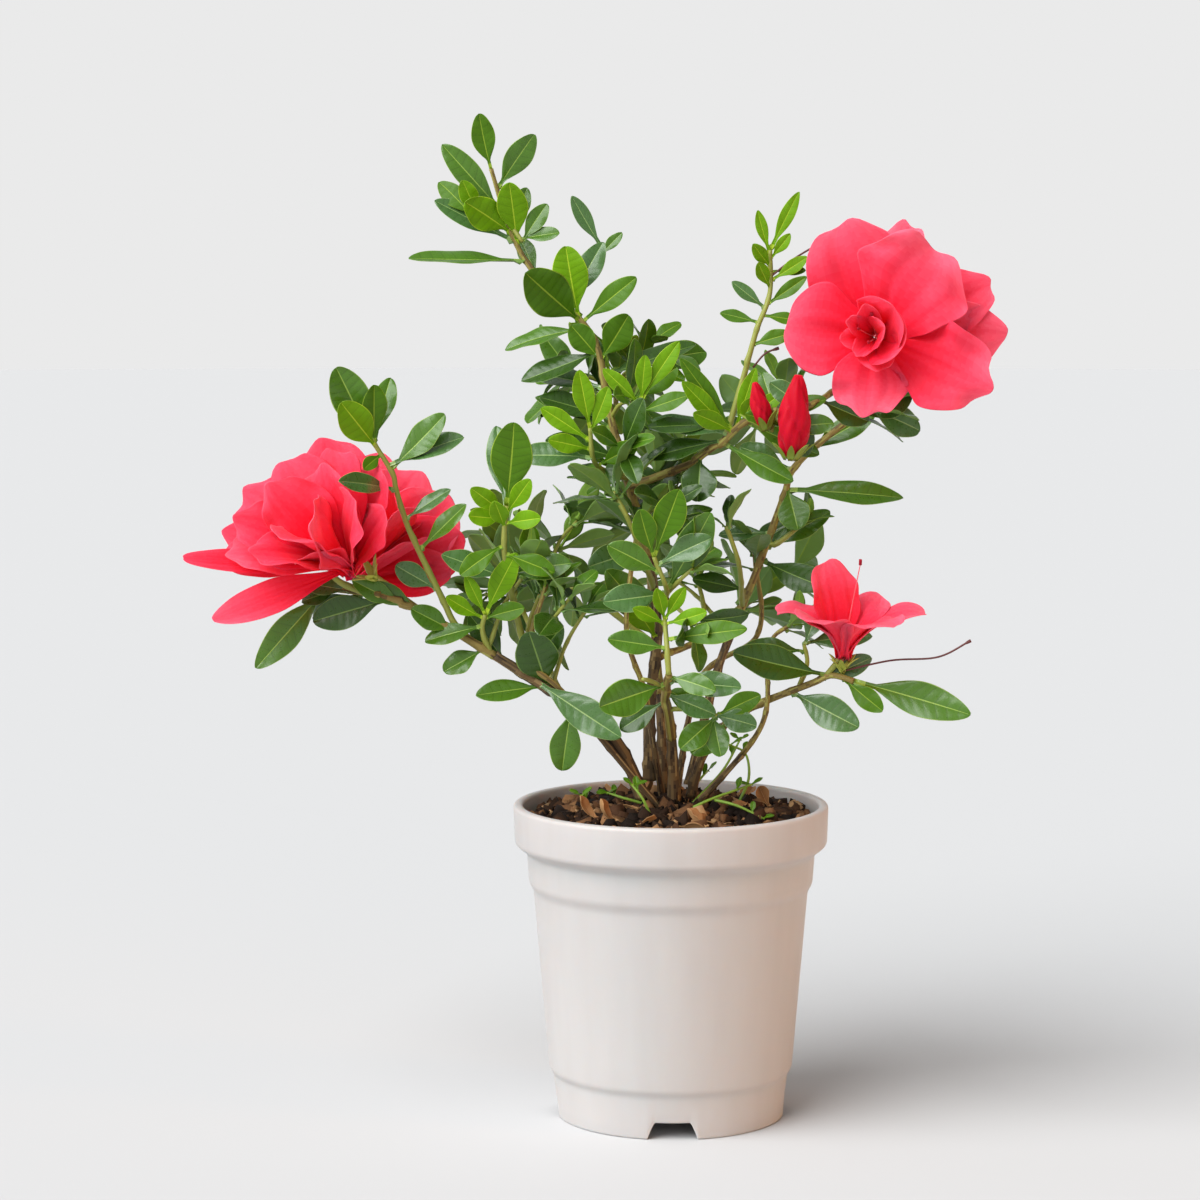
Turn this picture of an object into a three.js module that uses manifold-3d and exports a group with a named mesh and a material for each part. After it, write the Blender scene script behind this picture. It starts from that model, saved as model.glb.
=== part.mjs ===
// Azalea shrub in a round plastic nursery pot. Millimetres, +Z up.
// The origin is the centre of the pot's underside. +X is to the right of the plant's best side,
// and +Y goes away behind it.
// The pot, the potting mix, each woody limb, each mass of foliage and each bloom is one closed solid.
// Limbs are tapered round bars bent along smooth routes, and masses are uneven balls. Each new solid is
// cut back from the ones already standing, so that no two of them touch.

import * as THREE from "three";
import { mergeVertices } from "three/addons/utils/BufferGeometryUtils.js";
import Module from "manifold-3d";

const wasm = await Module();
wasm.setup();

// ---- driving dimensions -----------------------------------------------------------------------

const GAP = 0.3; // clear space left between neighbouring solids

const POT = {
  height: 120,
  rimRadius: 60, // outside of the rim band
  bandBottom: 105, // where the rim band ends, above the ground
  bandChamfer: 3.4,
  neckRadius: 55,
  neckBottom: 90,
  neckChamfer: 3,
  bodyTopRadius: 52.4,
  bodyBottomRadius: 46.6,
  footTop: 16, // top of the set-back foot
  footChamfer: 2.5,
  footTopRadius: 44.9,
  footRadius: 43.7,
  wall: 1.8,
  lipRound: 1.9,
  floor: 8.5, // height of the inside floor
  recess: 6, // height of the hollow under the floor
  padRadius: 14, // flat pad in the middle of the underside
  segments: 36,
};

const NOTCH = {
  count: 4,
  width: 18.5, // at the ground
  topWidth: 12.5,
  height: 6.4,
  cornerRadius: 2,
};

const MIX = {
  edge: 112.5, // height of the potting mix at the pot's wall
  crown: 119.5, // and in the middle, where the stems come out
  segments: 28,
};

const LIMB_SIDES = 6;
const MASS_DETAIL = 2; // subdivisions of a mass
const SMALL_MASS_DETAIL = 1;
const SMALL_MASS = 13.5; // a mass whose middle radius is under this gets fewer faces

// ---- colours ----------------------------------------------------------------------------------

function finish(colour, roughness) {
  return () => new THREE.MeshStandardMaterial({ color: colour, roughness, metalness: 0 });
}

const potPlastic = finish("#e2dcd9", 0.5);
const pottingMix = finish("#2f1d14", 0.95);
const bark = finish("#6b5138", 0.85);
const greenShoot = finish("#7d8a3c", 0.6);
const foliage = finish("#3f6b3a", 0.5);
const blossom = finish("#f4455e", 0.55);

// ---- solids -----------------------------------------------------------------------------------

/** Turns a closed three.js geometry into a solid that can be cut and joined. */
function solidOf(geometry) {
  const bare = geometry.clone();
  bare.deleteAttribute("normal");
  bare.deleteAttribute("uv");
  const merged = mergeVertices(bare, 1e-4);
  return new wasm.Manifold(new wasm.Mesh({
    numProp: 3,
    vertProperties: Float32Array.from(merged.attributes.position.array),
    triVerts: Uint32Array.from(merged.index.array),
  }));
}

/** The largest separate body of a solid. */
function largestBody(solid) {
  const bodies = solid.decompose();
  bodies.sort((a, b) => b.volume() - a.volume());
  return bodies[0];
}

/** Turns a solid back into a three.js geometry. */
function geometryOf(solid) {
  const mesh = solid.getMesh();
  const geometry = new THREE.BufferGeometry();
  geometry.setAttribute("position", new THREE.BufferAttribute(Float32Array.from(mesh.vertProperties), 3));
  geometry.setIndex(new THREE.BufferAttribute(Uint32Array.from(mesh.triVerts), 1));
  geometry.computeVertexNormals();
  return geometry;
}

/** Gives each vertex of a geometry the place that `move` works out for it. */
function reshape(geometry, move) {
  const position = geometry.attributes.position;
  const point = new THREE.Vector3();
  for (let i = 0; i < position.count; i += 1) {
    point.fromBufferAttribute(position, i);
    move(point);
    position.setXYZ(i, point.x, point.y, point.z);
  }
  return geometry;
}

function boxesMeet(a, b) {
  const first = a.boundingBox();
  const second = b.boundingBox();
  return [0, 1, 2].every((k) => first.min[k] <= second.max[k] && second.min[k] <= first.max[k]);
}

const plant = new THREE.Group();
const standing = []; // a slightly swollen copy of each solid placed so far

/** Cuts a new solid back from everything already standing and adds it to the plant. */
function place(name, solid, swollen, material) {
  let kept = solid;
  for (const other of standing) {
    if (boxesMeet(kept, other)) {
      kept = kept.subtract(other);
    }
  }
  const mesh = new THREE.Mesh(geometryOf(largestBody(kept)), material());
  mesh.name = name;
  plant.add(mesh);
  standing.push(swollen);
}

// ---- pot --------------------------------------------------------------------------------------

/** Turns a profile of [radius, height] pairs round the Z axis. */
function turned(profile, segments) {
  const points = profile.map(([radius, height]) => new THREE.Vector2(radius, height));
  return new THREE.LatheGeometry(points, segments).rotateX(Math.PI / 2);
}

/** Points of a quarter round, from `start` to `end` degrees about a centre. */
function arc(radius, height, round, start, end, steps) {
  const points = [];
  for (let i = 0; i <= steps; i += 1) {
    const angle = THREE.MathUtils.degToRad(start + ((end - start) * i) / steps);
    points.push([radius + round * Math.cos(angle), height + round * Math.sin(angle)]);
  }
  return points;
}

/** Outside radius of the pot's plain body at a height. */
function bodyRadius(height) {
  const low = POT.footTop + POT.footChamfer;
  const share = (height - low) / (POT.neckBottom - POT.neckChamfer - low);
  return POT.bodyBottomRadius + (POT.bodyTopRadius - POT.bodyBottomRadius) * share;
}

/** The pot's wall and floor in section, from the middle of the underside to the middle of the floor. */
function potProfile() {
  const footInside = POT.footRadius - POT.wall - 0.4;
  const lip = POT.lipRound;
  const lipCentre = POT.rimRadius - lip;
  const insideLip = lipCentre - lip;
  return [
    [0, 0],
    [POT.padRadius, 0],
    [POT.padRadius + 2, POT.recess],
    [footInside - 0.6, POT.recess],
    [footInside, 0],
    [POT.footRadius - 0.8, 0],
    [POT.footRadius, 0.8],
    [POT.footTopRadius, POT.footTop],
    [POT.bodyBottomRadius, POT.footTop + POT.footChamfer],
    [POT.bodyTopRadius, POT.neckBottom - POT.neckChamfer],
    [POT.neckRadius - 0.8, POT.neckBottom],
    [POT.neckRadius, POT.bandBottom - POT.bandChamfer],
    [POT.rimRadius - 0.4, POT.bandBottom],
    ...arc(lipCentre, POT.height - lip, lip, 0, 180, 4),
    [insideLip - 0.4, MIX.edge - 4],
    [POT.neckRadius - POT.wall, POT.neckBottom + 4],
    [POT.bodyTopRadius - POT.wall, POT.neckBottom - POT.neckChamfer - 1],
    [bodyRadius(POT.footTop + 4) - POT.wall, POT.footTop + 4],
    [POT.footTopRadius - POT.wall - 0.6, POT.floor + 2],
    [POT.footTopRadius - POT.wall - 2.6, POT.floor],
    [0, POT.floor],
  ];
}

/** A bar with the notch's outline, which runs out through the foot towards -Y. */
function notchBar() {
  const half = NOTCH.width / 2;
  const halfTop = NOTCH.topWidth / 2;
  const round = NOTCH.cornerRadius;
  const outline = new THREE.Shape();
  outline.moveTo(-half, -1);
  outline.lineTo(half, -1);
  outline.lineTo(half, 0);
  outline.lineTo(halfTop + round * 0.4, NOTCH.height - round);
  outline.quadraticCurveTo(halfTop, NOTCH.height, halfTop - round, NOTCH.height);
  outline.lineTo(round - halfTop, NOTCH.height);
  outline.quadraticCurveTo(-halfTop, NOTCH.height, -halfTop - round * 0.4, NOTCH.height - round);
  outline.lineTo(-half, 0);
  outline.closePath();
  const reach = 8;
  const bar = new THREE.ExtrudeGeometry(outline, { depth: reach, bevelEnabled: false, curveSegments: 3 });
  return bar.rotateX(Math.PI / 2).translate(0, reach / 2 - POT.footRadius, 0);
}

function makePot() {
  let pot = solidOf(turned(potProfile(), POT.segments));
  for (let i = 0; i < NOTCH.count; i += 1) {
    pot = pot.subtract(solidOf(notchBar().rotateZ((i * 2 * Math.PI) / NOTCH.count)));
  }
  place("pot", pot, pot, potPlastic);
}

/** The potting mix fills the pot and rises a little round the stems. */
function makeMix() {
  const clear = POT.wall + GAP + 0.3;
  const edgeRadius = POT.rimRadius - 2 * POT.lipRound - 1.1;
  const profile = (swell) => [
    [0, POT.floor + GAP],
    [POT.footTopRadius - POT.wall - 3, POT.floor + GAP],
    [bodyRadius(POT.footTop + 4) - clear, POT.footTop + 4 + GAP],
    [POT.bodyTopRadius - clear, POT.neckBottom - POT.neckChamfer - 1],
    [POT.neckRadius - clear, POT.neckBottom + 5],
    [edgeRadius, MIX.edge - 2],
    [edgeRadius - 1.5, MIX.edge + swell],
    [36, MIX.edge + 2.2 + swell],
    [20, MIX.crown - 1.6 + swell],
    [0, MIX.crown + swell],
  ];
  place("potting_mix", solidOf(turned(profile(0), MIX.segments)),
    solidOf(turned(profile(GAP), MIX.segments)), pottingMix);
}

// ---- limbs ------------------------------------------------------------------------------------

/** Radius of a limb at a share of its length, with its flare at the foot. */
function limbRadius({ foot, tip, flare = 0 }, share) {
  return tip + (foot - tip) * (1 - share) ** 0.85 + flare * Math.exp(-share * 22);
}

/** A tapered round bar bent along a smooth route through a few places. */
function bentBar(limb, swell) {
  const route = new THREE.CatmullRomCurve3(limb.through.map((p) => new THREE.Vector3(...p)), false, "centripetal");
  const steps = Math.max(4, Math.round(route.getLength() / limb.step));
  const frames = route.computeFrenetFrames(steps, false);
  const bar = new THREE.CylinderGeometry(1, 1, steps, LIMB_SIDES, steps);
  return reshape(bar, (point) => {
    const ring = Math.round(point.y + steps / 2);
    const share = ring / steps;
    const radius = limbRadius(limb, share) + swell;
    const centre = route.getPointAt(share);
    if (ring === 0) {
      centre.addScaledVector(frames.tangents[ring], -swell);
    }
    if (ring === steps) {
      centre.addScaledVector(frames.tangents[ring], swell);
    }
    centre.addScaledVector(frames.normals[ring], point.z * radius);
    centre.addScaledVector(frames.binormals[ring], point.x * radius);
    point.copy(centre);
  });
}

function makeLimb(name, limb) {
  const sized = { step: 14, ...limb };
  place(name, solidOf(bentBar(sized, 0)), solidOf(bentBar(sized, GAP)), limb.material ?? bark);
}

// Height at which the stems' flat feet stand, just clear of the potting mix.
const STEM_FOOT = MIX.crown + GAP;

// Stems and boughs: the places each one runs through, its radius at foot and tip, and its flare.
const STEMS = {
  main_stem: {
    through: [[-8, 2, STEM_FOOT], [-8, 0, 160], [-5, 0, 196], [-11, 0, 223], [-22, 0, 262], [-29, 2, 294],
      [-36, 4, 311], [-56, 8, 324], [-63, 8, 346]],
    foot: 2.7, tip: 1, flare: 1.2, material: bark,
  },
  left_stem: {
    through: [[-9, -6, STEM_FOOT], [-24, -13, 150], [-51, -20, 169], [-77, -25, 186], [-100, -27, 200]],
    foot: 3, tip: 1.5, flare: 1,
  },
  back_stem: {
    through: [[-2, 8, STEM_FOOT], [-4, 22, 158], [-6, 44, 186]],
    foot: 2.2, tip: 1.4, flare: 0.8,
  },
  front_stem: {
    through: [[1, -5, STEM_FOOT], [0, -14, 146], [-3, -32, 166]],
    foot: 2.6, tip: 1.6, flare: 0.8,
  },
  right_stem: {
    through: [[6, 10, STEM_FOOT], [18, 17, 168], [33, 20, 206], [43, 20, 234], [49, 16, 252]],
    foot: 2, tip: 1.1, flare: 0.6,
  },
  low_right_bough: {
    through: [[7, 2, STEM_FOOT], [15, -5, 146], [29, -13, 158], [46, -21, 166], [62, -24, 173]],
    foot: 2, tip: 1.2, flare: 0.4,
  },
};

const BOUGHS = {
  upper_right_bough: {
    through: [[-13, 0, 232], [8, -12, 251], [26, -20, 264], [46, -26, 274]],
    foot: 1.5, tip: 1, material: greenShoot,
  },
  right_riser: {
    through: [[22, -17, 263], [28, -15, 289], [35, -9, 312]],
    foot: 1.2, tip: 0.9, material: greenShoot,
  },
  left_riser: {
    through: [[-80, -24, 189], [-92, -25, 214], [-100, -25, 232], [-105, -24, 252]],
    foot: 1.6, tip: 1.1, material: greenShoot,
  },
  far_left_bough: {
    through: [[-98, -27, 199], [-112, -27, 203], [-128, -28, 210]],
    foot: 1.4, tip: 1,
  },
  back_low_bough: {
    through: [[-5, 34, 172], [12, 52, 176], [26, 72, 186]],
    foot: 1.4, tip: 0.9,
  },
  back_high_bough: {
    through: [[-12, 2, 226], [-14, 26, 246], [-18, 50, 268]],
    foot: 1.4, tip: 0.9,
  },
  crown_fork: {
    through: [[-34, 3, 307], [-30, 10, 318], [-26, 18, 330]],
    foot: 1.2, tip: 0.9, material: greenShoot,
  },
};

// ---- masses -----------------------------------------------------------------------------------

/** A repeatable number from -1 to 1 for a mass's seed and a turn of its own. */
function spread(seed, turn) {
  const value = Math.sin(seed * 12.9898 + turn * 78.233) * 43758.5453;
  return 2 * (value - Math.floor(value)) - 1;
}

/** How far a mass stands out in a direction: a few broad lumps laid over a ball. */
function lumps(direction, seed, uneven) {
  let sum = 0;
  for (let i = 0; i < 5; i += 1) {
    const wave = 1.7 + 0.7 * i;
    const along = direction.x * spread(seed, i) + direction.y * spread(seed, i + 9)
      + direction.z * spread(seed, i + 18);
    sum += Math.sin(wave * 2.2 * along + 3 * spread(seed, i + 27)) / (1 + 0.5 * i);
  }
  return 1 + uneven * sum;
}

/** An uneven ball of given half-sizes, leaning by `tilt` degrees in the plane of the plant's best side. */
function unevenBall(mass, swell) {
  const middle = (mass.half[0] + mass.half[1] + mass.half[2]) / 3;
  const detail = middle < SMALL_MASS ? SMALL_MASS_DETAIL : MASS_DETAIL;
  const ball = new THREE.IcosahedronGeometry(1, detail);
  reshape(ball, (point) => {
    const out = lumps(point, mass.seed, mass.uneven ?? 0.1);
    point.set(
      point.x * (mass.half[0] * out + swell),
      point.y * (mass.half[1] * out + swell),
      point.z * (mass.half[2] * out + swell),
    );
  });
  ball.rotateY(-THREE.MathUtils.degToRad(mass.tilt ?? 0));
  return ball.translate(...mass.at);
}

function makeMass(name, mass, material) {
  place(name, solidOf(unevenBall(mass, 0)), solidOf(unevenBall(mass, GAP)), material);
}

// Blooms: centre, half-sizes across, deep and high, and lean.
const BLOOMS = {
  right_bloom: { at: [83, -24, 304], half: [41, 27, 35], tilt: -14, seed: 3 },
  left_bloom: { at: [-147, -38, 226], half: [36, 22, 22], tilt: 20, seed: 8 },
  left_back_bloom: { at: [-112, 12, 232], half: [25, 20, 28], tilt: -12, seed: 5 },
  low_bloom: { at: [67, -26, 198], half: [29, 17, 12], tilt: 0, seed: 14 },
  right_bud: { at: [45, -38, 268], half: [11, 7, 18], tilt: 14, seed: 4 },
};

// Masses of foliage, from the top of the crown down, then the back.
const FOLIAGE = {
  crown_tip: { at: [-67, 8, 355], half: [18, 16, 26], tilt: -8, seed: 1 },
  crown_side: { at: [-83, 4, 325], half: [20, 8, 5], tilt: -6, seed: 2 },
  upper_whorl: { at: [-36, 2, 311], half: [25, 22, 21], seed: 6 },
  upper_right_spray: { at: [-4, 0, 287], half: [19, 12, 8], tilt: 16, seed: 7 },
  upper_left_spray: { at: [-54, -3, 291], half: [16, 12, 9], tilt: 12, seed: 9 },
  heart: { at: [-30, -6, 266], half: [32, 26, 16], seed: 10 },
  right_shoot: { at: [37, -8, 322], half: [17, 14, 24], tilt: 6, seed: 11 },
  right_rosette: { at: [21, -28, 272], half: [25, 18, 18], seed: 12 },
  right_upper: { at: [66, 10, 262], half: [29, 18, 12], tilt: 24, seed: 13 },
  right_back: { at: [44, 42, 268], half: [22, 22, 18], seed: 41 },
  left_fore: { at: [-61, -36, 240], half: [20, 18, 23], seed: 15 },
  left_top: { at: [-107, -24, 270], half: [21, 17, 23], tilt: -6, seed: 16 },
  left_under: { at: [-128, -22, 194], half: [30, 13, 9], tilt: 30, seed: 17 },
  inner_left: { at: [-50, -24, 204], half: [30, 21, 14], seed: 18 },
  inner_core: { at: [-8, -8, 234], half: [24, 22, 17], seed: 19 },
  centre_fore: { at: [-8, -48, 205], half: [23, 18, 18], seed: 20 },
  right_inner: { at: [22, -4, 214], half: [15, 18, 19], seed: 21 },
  right_mid: { at: [64, 18, 218], half: [31, 20, 17], tilt: 10, seed: 22 },
  right_low: { at: [44, 0, 184], half: [17, 15, 7], seed: 23 },
  left_low: { at: [-50, -18, 169], half: [29, 16, 9], tilt: -14, seed: 24 },
  hanging_leaf: { at: [-44, -20, 148], half: [7, 5, 13], seed: 25 },
  front_rosette: { at: [-2, -54, 178], half: [25, 19, 12], seed: 26 },
  low_front: { at: [15, -30, 158], half: [14, 11, 10], seed: 27 },
  low_right: { at: [84, -28, 165], half: [31, 15, 8], tilt: -10, seed: 28 },
  back_low: { at: [28, 72, 190], half: [34, 27, 19], seed: 29 },
  back_left: { at: [-48, 46, 206], half: [32, 27, 20], seed: 30 },
  back_middle: { at: [-4, 58, 228], half: [30, 28, 20], seed: 31 },
  back_high: { at: [-20, 50, 276], half: [28, 24, 21], seed: 32 },
};

// ---- the plant --------------------------------------------------------------------------------

makePot();
makeMix();
for (const [name, limb] of Object.entries(STEMS)) {
  makeLimb(name, limb);
}
for (const [name, mass] of Object.entries(BLOOMS)) {
  makeMass(name, mass, blossom);
}
for (const [name, mass] of Object.entries(FOLIAGE)) {
  makeMass(name, mass, foliage);
}
for (const [name, limb] of Object.entries(BOUGHS)) {
  makeLimb(name, limb);
}

export default plant;
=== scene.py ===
import math

import bpy
import numpy as np
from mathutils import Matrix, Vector


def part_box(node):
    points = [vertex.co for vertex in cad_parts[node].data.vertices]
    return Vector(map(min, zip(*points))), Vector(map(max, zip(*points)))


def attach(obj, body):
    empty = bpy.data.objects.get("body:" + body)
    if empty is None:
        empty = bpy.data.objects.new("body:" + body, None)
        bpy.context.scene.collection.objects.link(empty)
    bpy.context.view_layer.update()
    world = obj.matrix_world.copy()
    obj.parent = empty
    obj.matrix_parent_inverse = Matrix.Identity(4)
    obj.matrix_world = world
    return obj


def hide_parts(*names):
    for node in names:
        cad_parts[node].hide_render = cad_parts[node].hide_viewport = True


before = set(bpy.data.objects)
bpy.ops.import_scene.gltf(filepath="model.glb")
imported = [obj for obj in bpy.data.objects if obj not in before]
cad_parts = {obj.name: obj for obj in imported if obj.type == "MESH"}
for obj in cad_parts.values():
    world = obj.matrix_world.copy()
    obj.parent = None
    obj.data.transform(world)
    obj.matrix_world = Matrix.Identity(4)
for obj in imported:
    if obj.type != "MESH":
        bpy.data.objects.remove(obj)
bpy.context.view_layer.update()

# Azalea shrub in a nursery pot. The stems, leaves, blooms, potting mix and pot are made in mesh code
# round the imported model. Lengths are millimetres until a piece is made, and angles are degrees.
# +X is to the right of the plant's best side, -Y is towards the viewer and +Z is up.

MM = 0.001
UP = np.array([0.0, 0.0, 1.0])
VIEWER = np.array([0.0, -1.0, 0.0])
GOLDEN_TURN = 137.5  # degrees from one leaf on a shoot to the next


# ---- small tools ------------------------------------------------------------------------------

def unit(vector):
    vector = np.asarray(vector, float)
    return vector / max(np.linalg.norm(vector), 1e-9)


def turned(vector, axis, angle):
    """The vector turned about the axis by an angle in degrees."""
    a = math.radians(angle)
    axis = unit(axis)
    return (vector * math.cos(a) + np.cross(axis, vector) * math.sin(a)
            + axis * np.dot(axis, vector) * (1 - math.cos(a)))


def corners_of(node):
    """The low and high corners of a CAD node's box."""
    return [np.array(corner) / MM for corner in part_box(node)]


def spoke(side, other, angle):
    """The way at this angle in degrees, from one direction towards another that is square to it."""
    a = math.radians(angle)
    return side * math.cos(a) + other * math.sin(a)


def within(node, across, deep, up):
    """The place at these shares of a CAD node's box."""
    low, high = corners_of(node)
    return low + (high - low) * np.array([across, deep, up])


def placed(base, heading, face, x, y, z):
    """Points set out across a heading, along it and above it, on the side that the face looks to."""
    heading = unit(heading)
    normal = unit(np.asarray(face) - heading * np.dot(face, heading))
    across = np.cross(heading, normal)
    return (np.asarray(base) + x[:, :, None] * across + y[:, :, None] * heading
            + z[:, :, None] * normal)


def smooth_route(places, spacing):
    """A smooth line through the places, as evenly spaced points."""
    p = np.array(places, float)
    p = np.vstack([2 * p[0] - p[1], p, 2 * p[-1] - p[-2]])
    fine = []
    for i in range(1, len(p) - 2):
        t = np.linspace(0, 1, 24, endpoint=False)[:, None]
        a, b, c, d = p[i - 1], p[i], p[i + 1], p[i + 2]
        fine.append(0.5 * (2 * b + (c - a) * t + (2 * a - 5 * b + 4 * c - d) * t ** 2
                           + (3 * b - a - 3 * c + d) * t ** 3))
    fine = np.vstack(fine + [p[-2:-1]])
    run = np.concatenate([[0], np.cumsum(np.linalg.norm(np.diff(fine, axis=0), axis=1))])
    steps = max(3, int(round(run[-1] / spacing)))
    at = np.linspace(0, run[-1], steps + 1)
    return np.column_stack([np.interp(at, run, fine[:, k]) for k in range(3)])


def carried_frames(route):
    """Tangents and two side directions along a route, carried on without twist."""
    tangents = np.gradient(route, axis=0)
    tangents /= np.linalg.norm(tangents, axis=1)[:, None]
    side = unit(np.cross(tangents[0], VIEWER if abs(tangents[0][1]) < 0.9 else UP))
    sides = []
    for tangent in tangents:
        side = unit(side - tangent * np.dot(side, tangent))
        sides.append(side)
    sides = np.array(sides)
    return tangents, sides, np.cross(tangents, sides)


def waves(points, scale, seed):
    """Soft uneven numbers from -1 to 1 at the points: a few crossed sine waves of one size."""
    dice = np.random.default_rng(seed)
    total = np.zeros(len(points))
    for _ in range(6):
        direction = dice.normal(size=3)
        direction *= 2 * math.pi / scale / np.linalg.norm(direction) * dice.uniform(0.6, 1.5)
        total += np.sin(points @ direction + dice.uniform(0, 2 * math.pi))
    return total / 3.5


class Joined:
    """Many small shapes of one kind, gathered to be made into one piece."""

    def __init__(self):
        self.points = []
        self.faces = []
        self.tints = []
        self.count = 0

    def add(self, points, faces, tint):
        """Adds points, an array of faces with the same number of corners, and a tint for all or each."""
        faces = np.asarray(faces, np.int64)
        self.points.append(np.asarray(points, float))
        self.faces.append(faces + self.count)
        self.tints.append(np.broadcast_to(np.asarray(tint, np.int32), (len(faces),)))
        self.count += len(points)

    def more_faces(self, faces, tint, first):
        """Adds faces over points that are already in, counted from `first`."""
        faces = np.asarray(faces, np.int64)
        self.faces.append(faces + first)
        self.tints.append(np.broadcast_to(np.asarray(tint, np.int32), (len(faces),)))

    def make(self, name, finishes, slot, *nodes):
        """Makes the piece, which rides on the plant's one body and stands for the CAD nodes named."""
        mesh = bpy.data.meshes.new(name)
        points = np.concatenate(self.points) * MM
        corners = np.concatenate([f.ravel() for f in self.faces])
        sizes = np.concatenate([np.full(len(f), f.shape[1]) for f in self.faces])
        mesh.vertices.add(len(points))
        mesh.vertices.foreach_set("co", points.ravel())
        mesh.loops.add(len(corners))
        mesh.loops.foreach_set("vertex_index", corners.astype(np.int32))
        mesh.polygons.add(len(sizes))
        mesh.polygons.foreach_set("loop_start", (np.cumsum(sizes) - sizes).astype(np.int32))
        for finish in finishes:
            mesh.materials.append(finish)
        mesh.polygons.foreach_set("material_index", np.concatenate(self.tints).astype(np.int32))
        mesh.polygons.foreach_set("use_smooth", np.ones(len(sizes), bool))
        mesh.update(calc_edges=True)
        mesh.validate()
        piece = bpy.data.objects.new(name, mesh)
        bpy.context.scene.collection.objects.link(piece)
        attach(piece, "root")
        if nodes:
            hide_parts(*nodes)
        return piece


def grid_faces(rows, columns):
    """The quads of a grid of rows and columns of points."""
    corner = (np.arange(rows - 1)[:, None] * columns + np.arange(columns - 1)[None, :]).ravel()
    return np.column_stack([corner, corner + 1, corner + columns + 1, corner + columns])


def thin_solid(joined, grid, thickness, top_tint, under_tint):
    """Adds a thin closed blade: the grid is its upper side, and its underside meets it at the edge."""
    rows, columns = grid.shape[:2]
    along = np.gradient(grid, axis=0)
    across = np.gradient(grid, axis=1)
    normal = np.cross(across, along)
    normal /= np.maximum(np.linalg.norm(normal, axis=2), 1e-9)[:, :, None]
    under = (grid - normal * thickness[:, :, None])[1:-1, 1:-1]
    below = np.arange(rows * columns).reshape(rows, columns)
    inside = np.arange((rows - 2) * (columns - 2)).reshape(rows - 2, columns - 2)
    below[1:-1, 1:-1] = rows * columns + inside
    quads = grid_faces(rows, columns)
    first = joined.count
    joined.add(np.vstack([grid.reshape(-1, 3), under.reshape(-1, 3)]), quads, top_tint.ravel())
    joined.more_faces(below.ravel()[quads][:, ::-1], under_tint.ravel(), first)


def turned_solid(joined, rings, ends, tint, outward=True):
    """Adds a closed round shape: rings of points, row after row, and a middle point for each end."""
    rows, count = rings.shape[:2]
    start = np.arange(rows - 1)[:, None] * count
    k = np.arange(count)
    after = (k + 1) % count
    quads = [start + k, start + after, start + count + after, start + count + k]
    quads = np.stack(quads, axis=2).reshape(-1, 4)
    last = (rows - 1) * count
    foot_cap = np.column_stack([np.full(count, rows * count), after, k])
    tip_cap = np.column_stack([np.full(count, rows * count + 1), last + k, last + after])
    if not outward:
        quads = quads[:, [0, 3, 2, 1]]
        foot_cap = foot_cap[:, [0, 2, 1]]
        tip_cap = tip_cap[:, [0, 2, 1]]
    tint = np.broadcast_to(np.asarray(tint), (len(quads),))
    first = joined.count
    joined.add(np.vstack([rings.reshape(-1, 3), ends]), quads, tint)
    joined.more_faces(foot_cap, tint[0], first)
    joined.more_faces(tip_cap, tint[-1], first)


def tube(joined, route, radius, sides, tint, relief=None):
    """Adds a round bar along a route, closed at both ends. `relief` says how far each point stands out."""
    _, side, other = carried_frames(route)
    angle = np.arange(sides) * 2 * math.pi / sides
    out = (np.cos(angle)[None, :, None] * side[:, None, :]
           + np.sin(angle)[None, :, None] * other[:, None, :])
    radius = np.broadcast_to(radius, (len(route),))
    reach = np.repeat(radius[:, None], sides, axis=1)
    if relief is not None:
        reach = reach + relief(route, angle, radius)
    rings = route[:, None, :] + out * reach[:, :, None]
    turned_solid(joined, rings, [route[0], route[-1]], tint)


# ---- finishes ---------------------------------------------------------------------------------

def linear(colour):
    """An sRGB hex colour as the linear values that a shader takes."""
    values = [int(colour[i:i + 2], 16) / 255 for i in (1, 3, 5)]
    return tuple(v / 12.92 if v <= 0.04045 else ((v + 0.055) / 1.055) ** 2.4 for v in values) + (1.0,)


def add(tree, kind, settings=None, **links):
    """Adds a node with its settings, and links each named input to the socket given."""
    node = tree.nodes.new(kind)
    for key, value in (settings or {}).items():
        if hasattr(node, key):
            setattr(node, key, value)
        else:
            node.inputs[key].default_value = value
    for key, socket in links.items():
        tree.links.new(socket, node.inputs[key.replace("_", " ")])
    return node


def surface(name, **settings):
    """A material with one Principled shader, with these values on its own sockets."""
    finish = bpy.data.materials.new(name)
    finish.use_nodes = True
    tree = finish.node_tree
    shader = tree.nodes["Principled BSDF"]
    for key, value in settings.items():
        shader.inputs[key.replace("_", " ")].default_value = value
    return finish, tree, shader


def scale_of(size):
    """The noise scale, in waves a metre, of a pattern whose spots are this many millimetres apart."""
    return 1 / (size * MM)


def worked(tree, shader, gloss_pattern, roughness, relief_pattern, strength, depth):
    """Lets one pattern run the roughness between two values, and raises another by this depth."""
    gloss = add(tree, "ShaderNodeMapRange", {"To Min": roughness[0], "To Max": roughness[1]},
                Value=gloss_pattern)
    relief = add(tree, "ShaderNodeBump", {"Strength": strength, "Distance": depth * MM},
                 Height=relief_pattern)
    tree.links.new(gloss.outputs["Result"], shader.inputs["Roughness"])
    tree.links.new(relief.outputs["Normal"], shader.inputs["Normal"])


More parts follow.
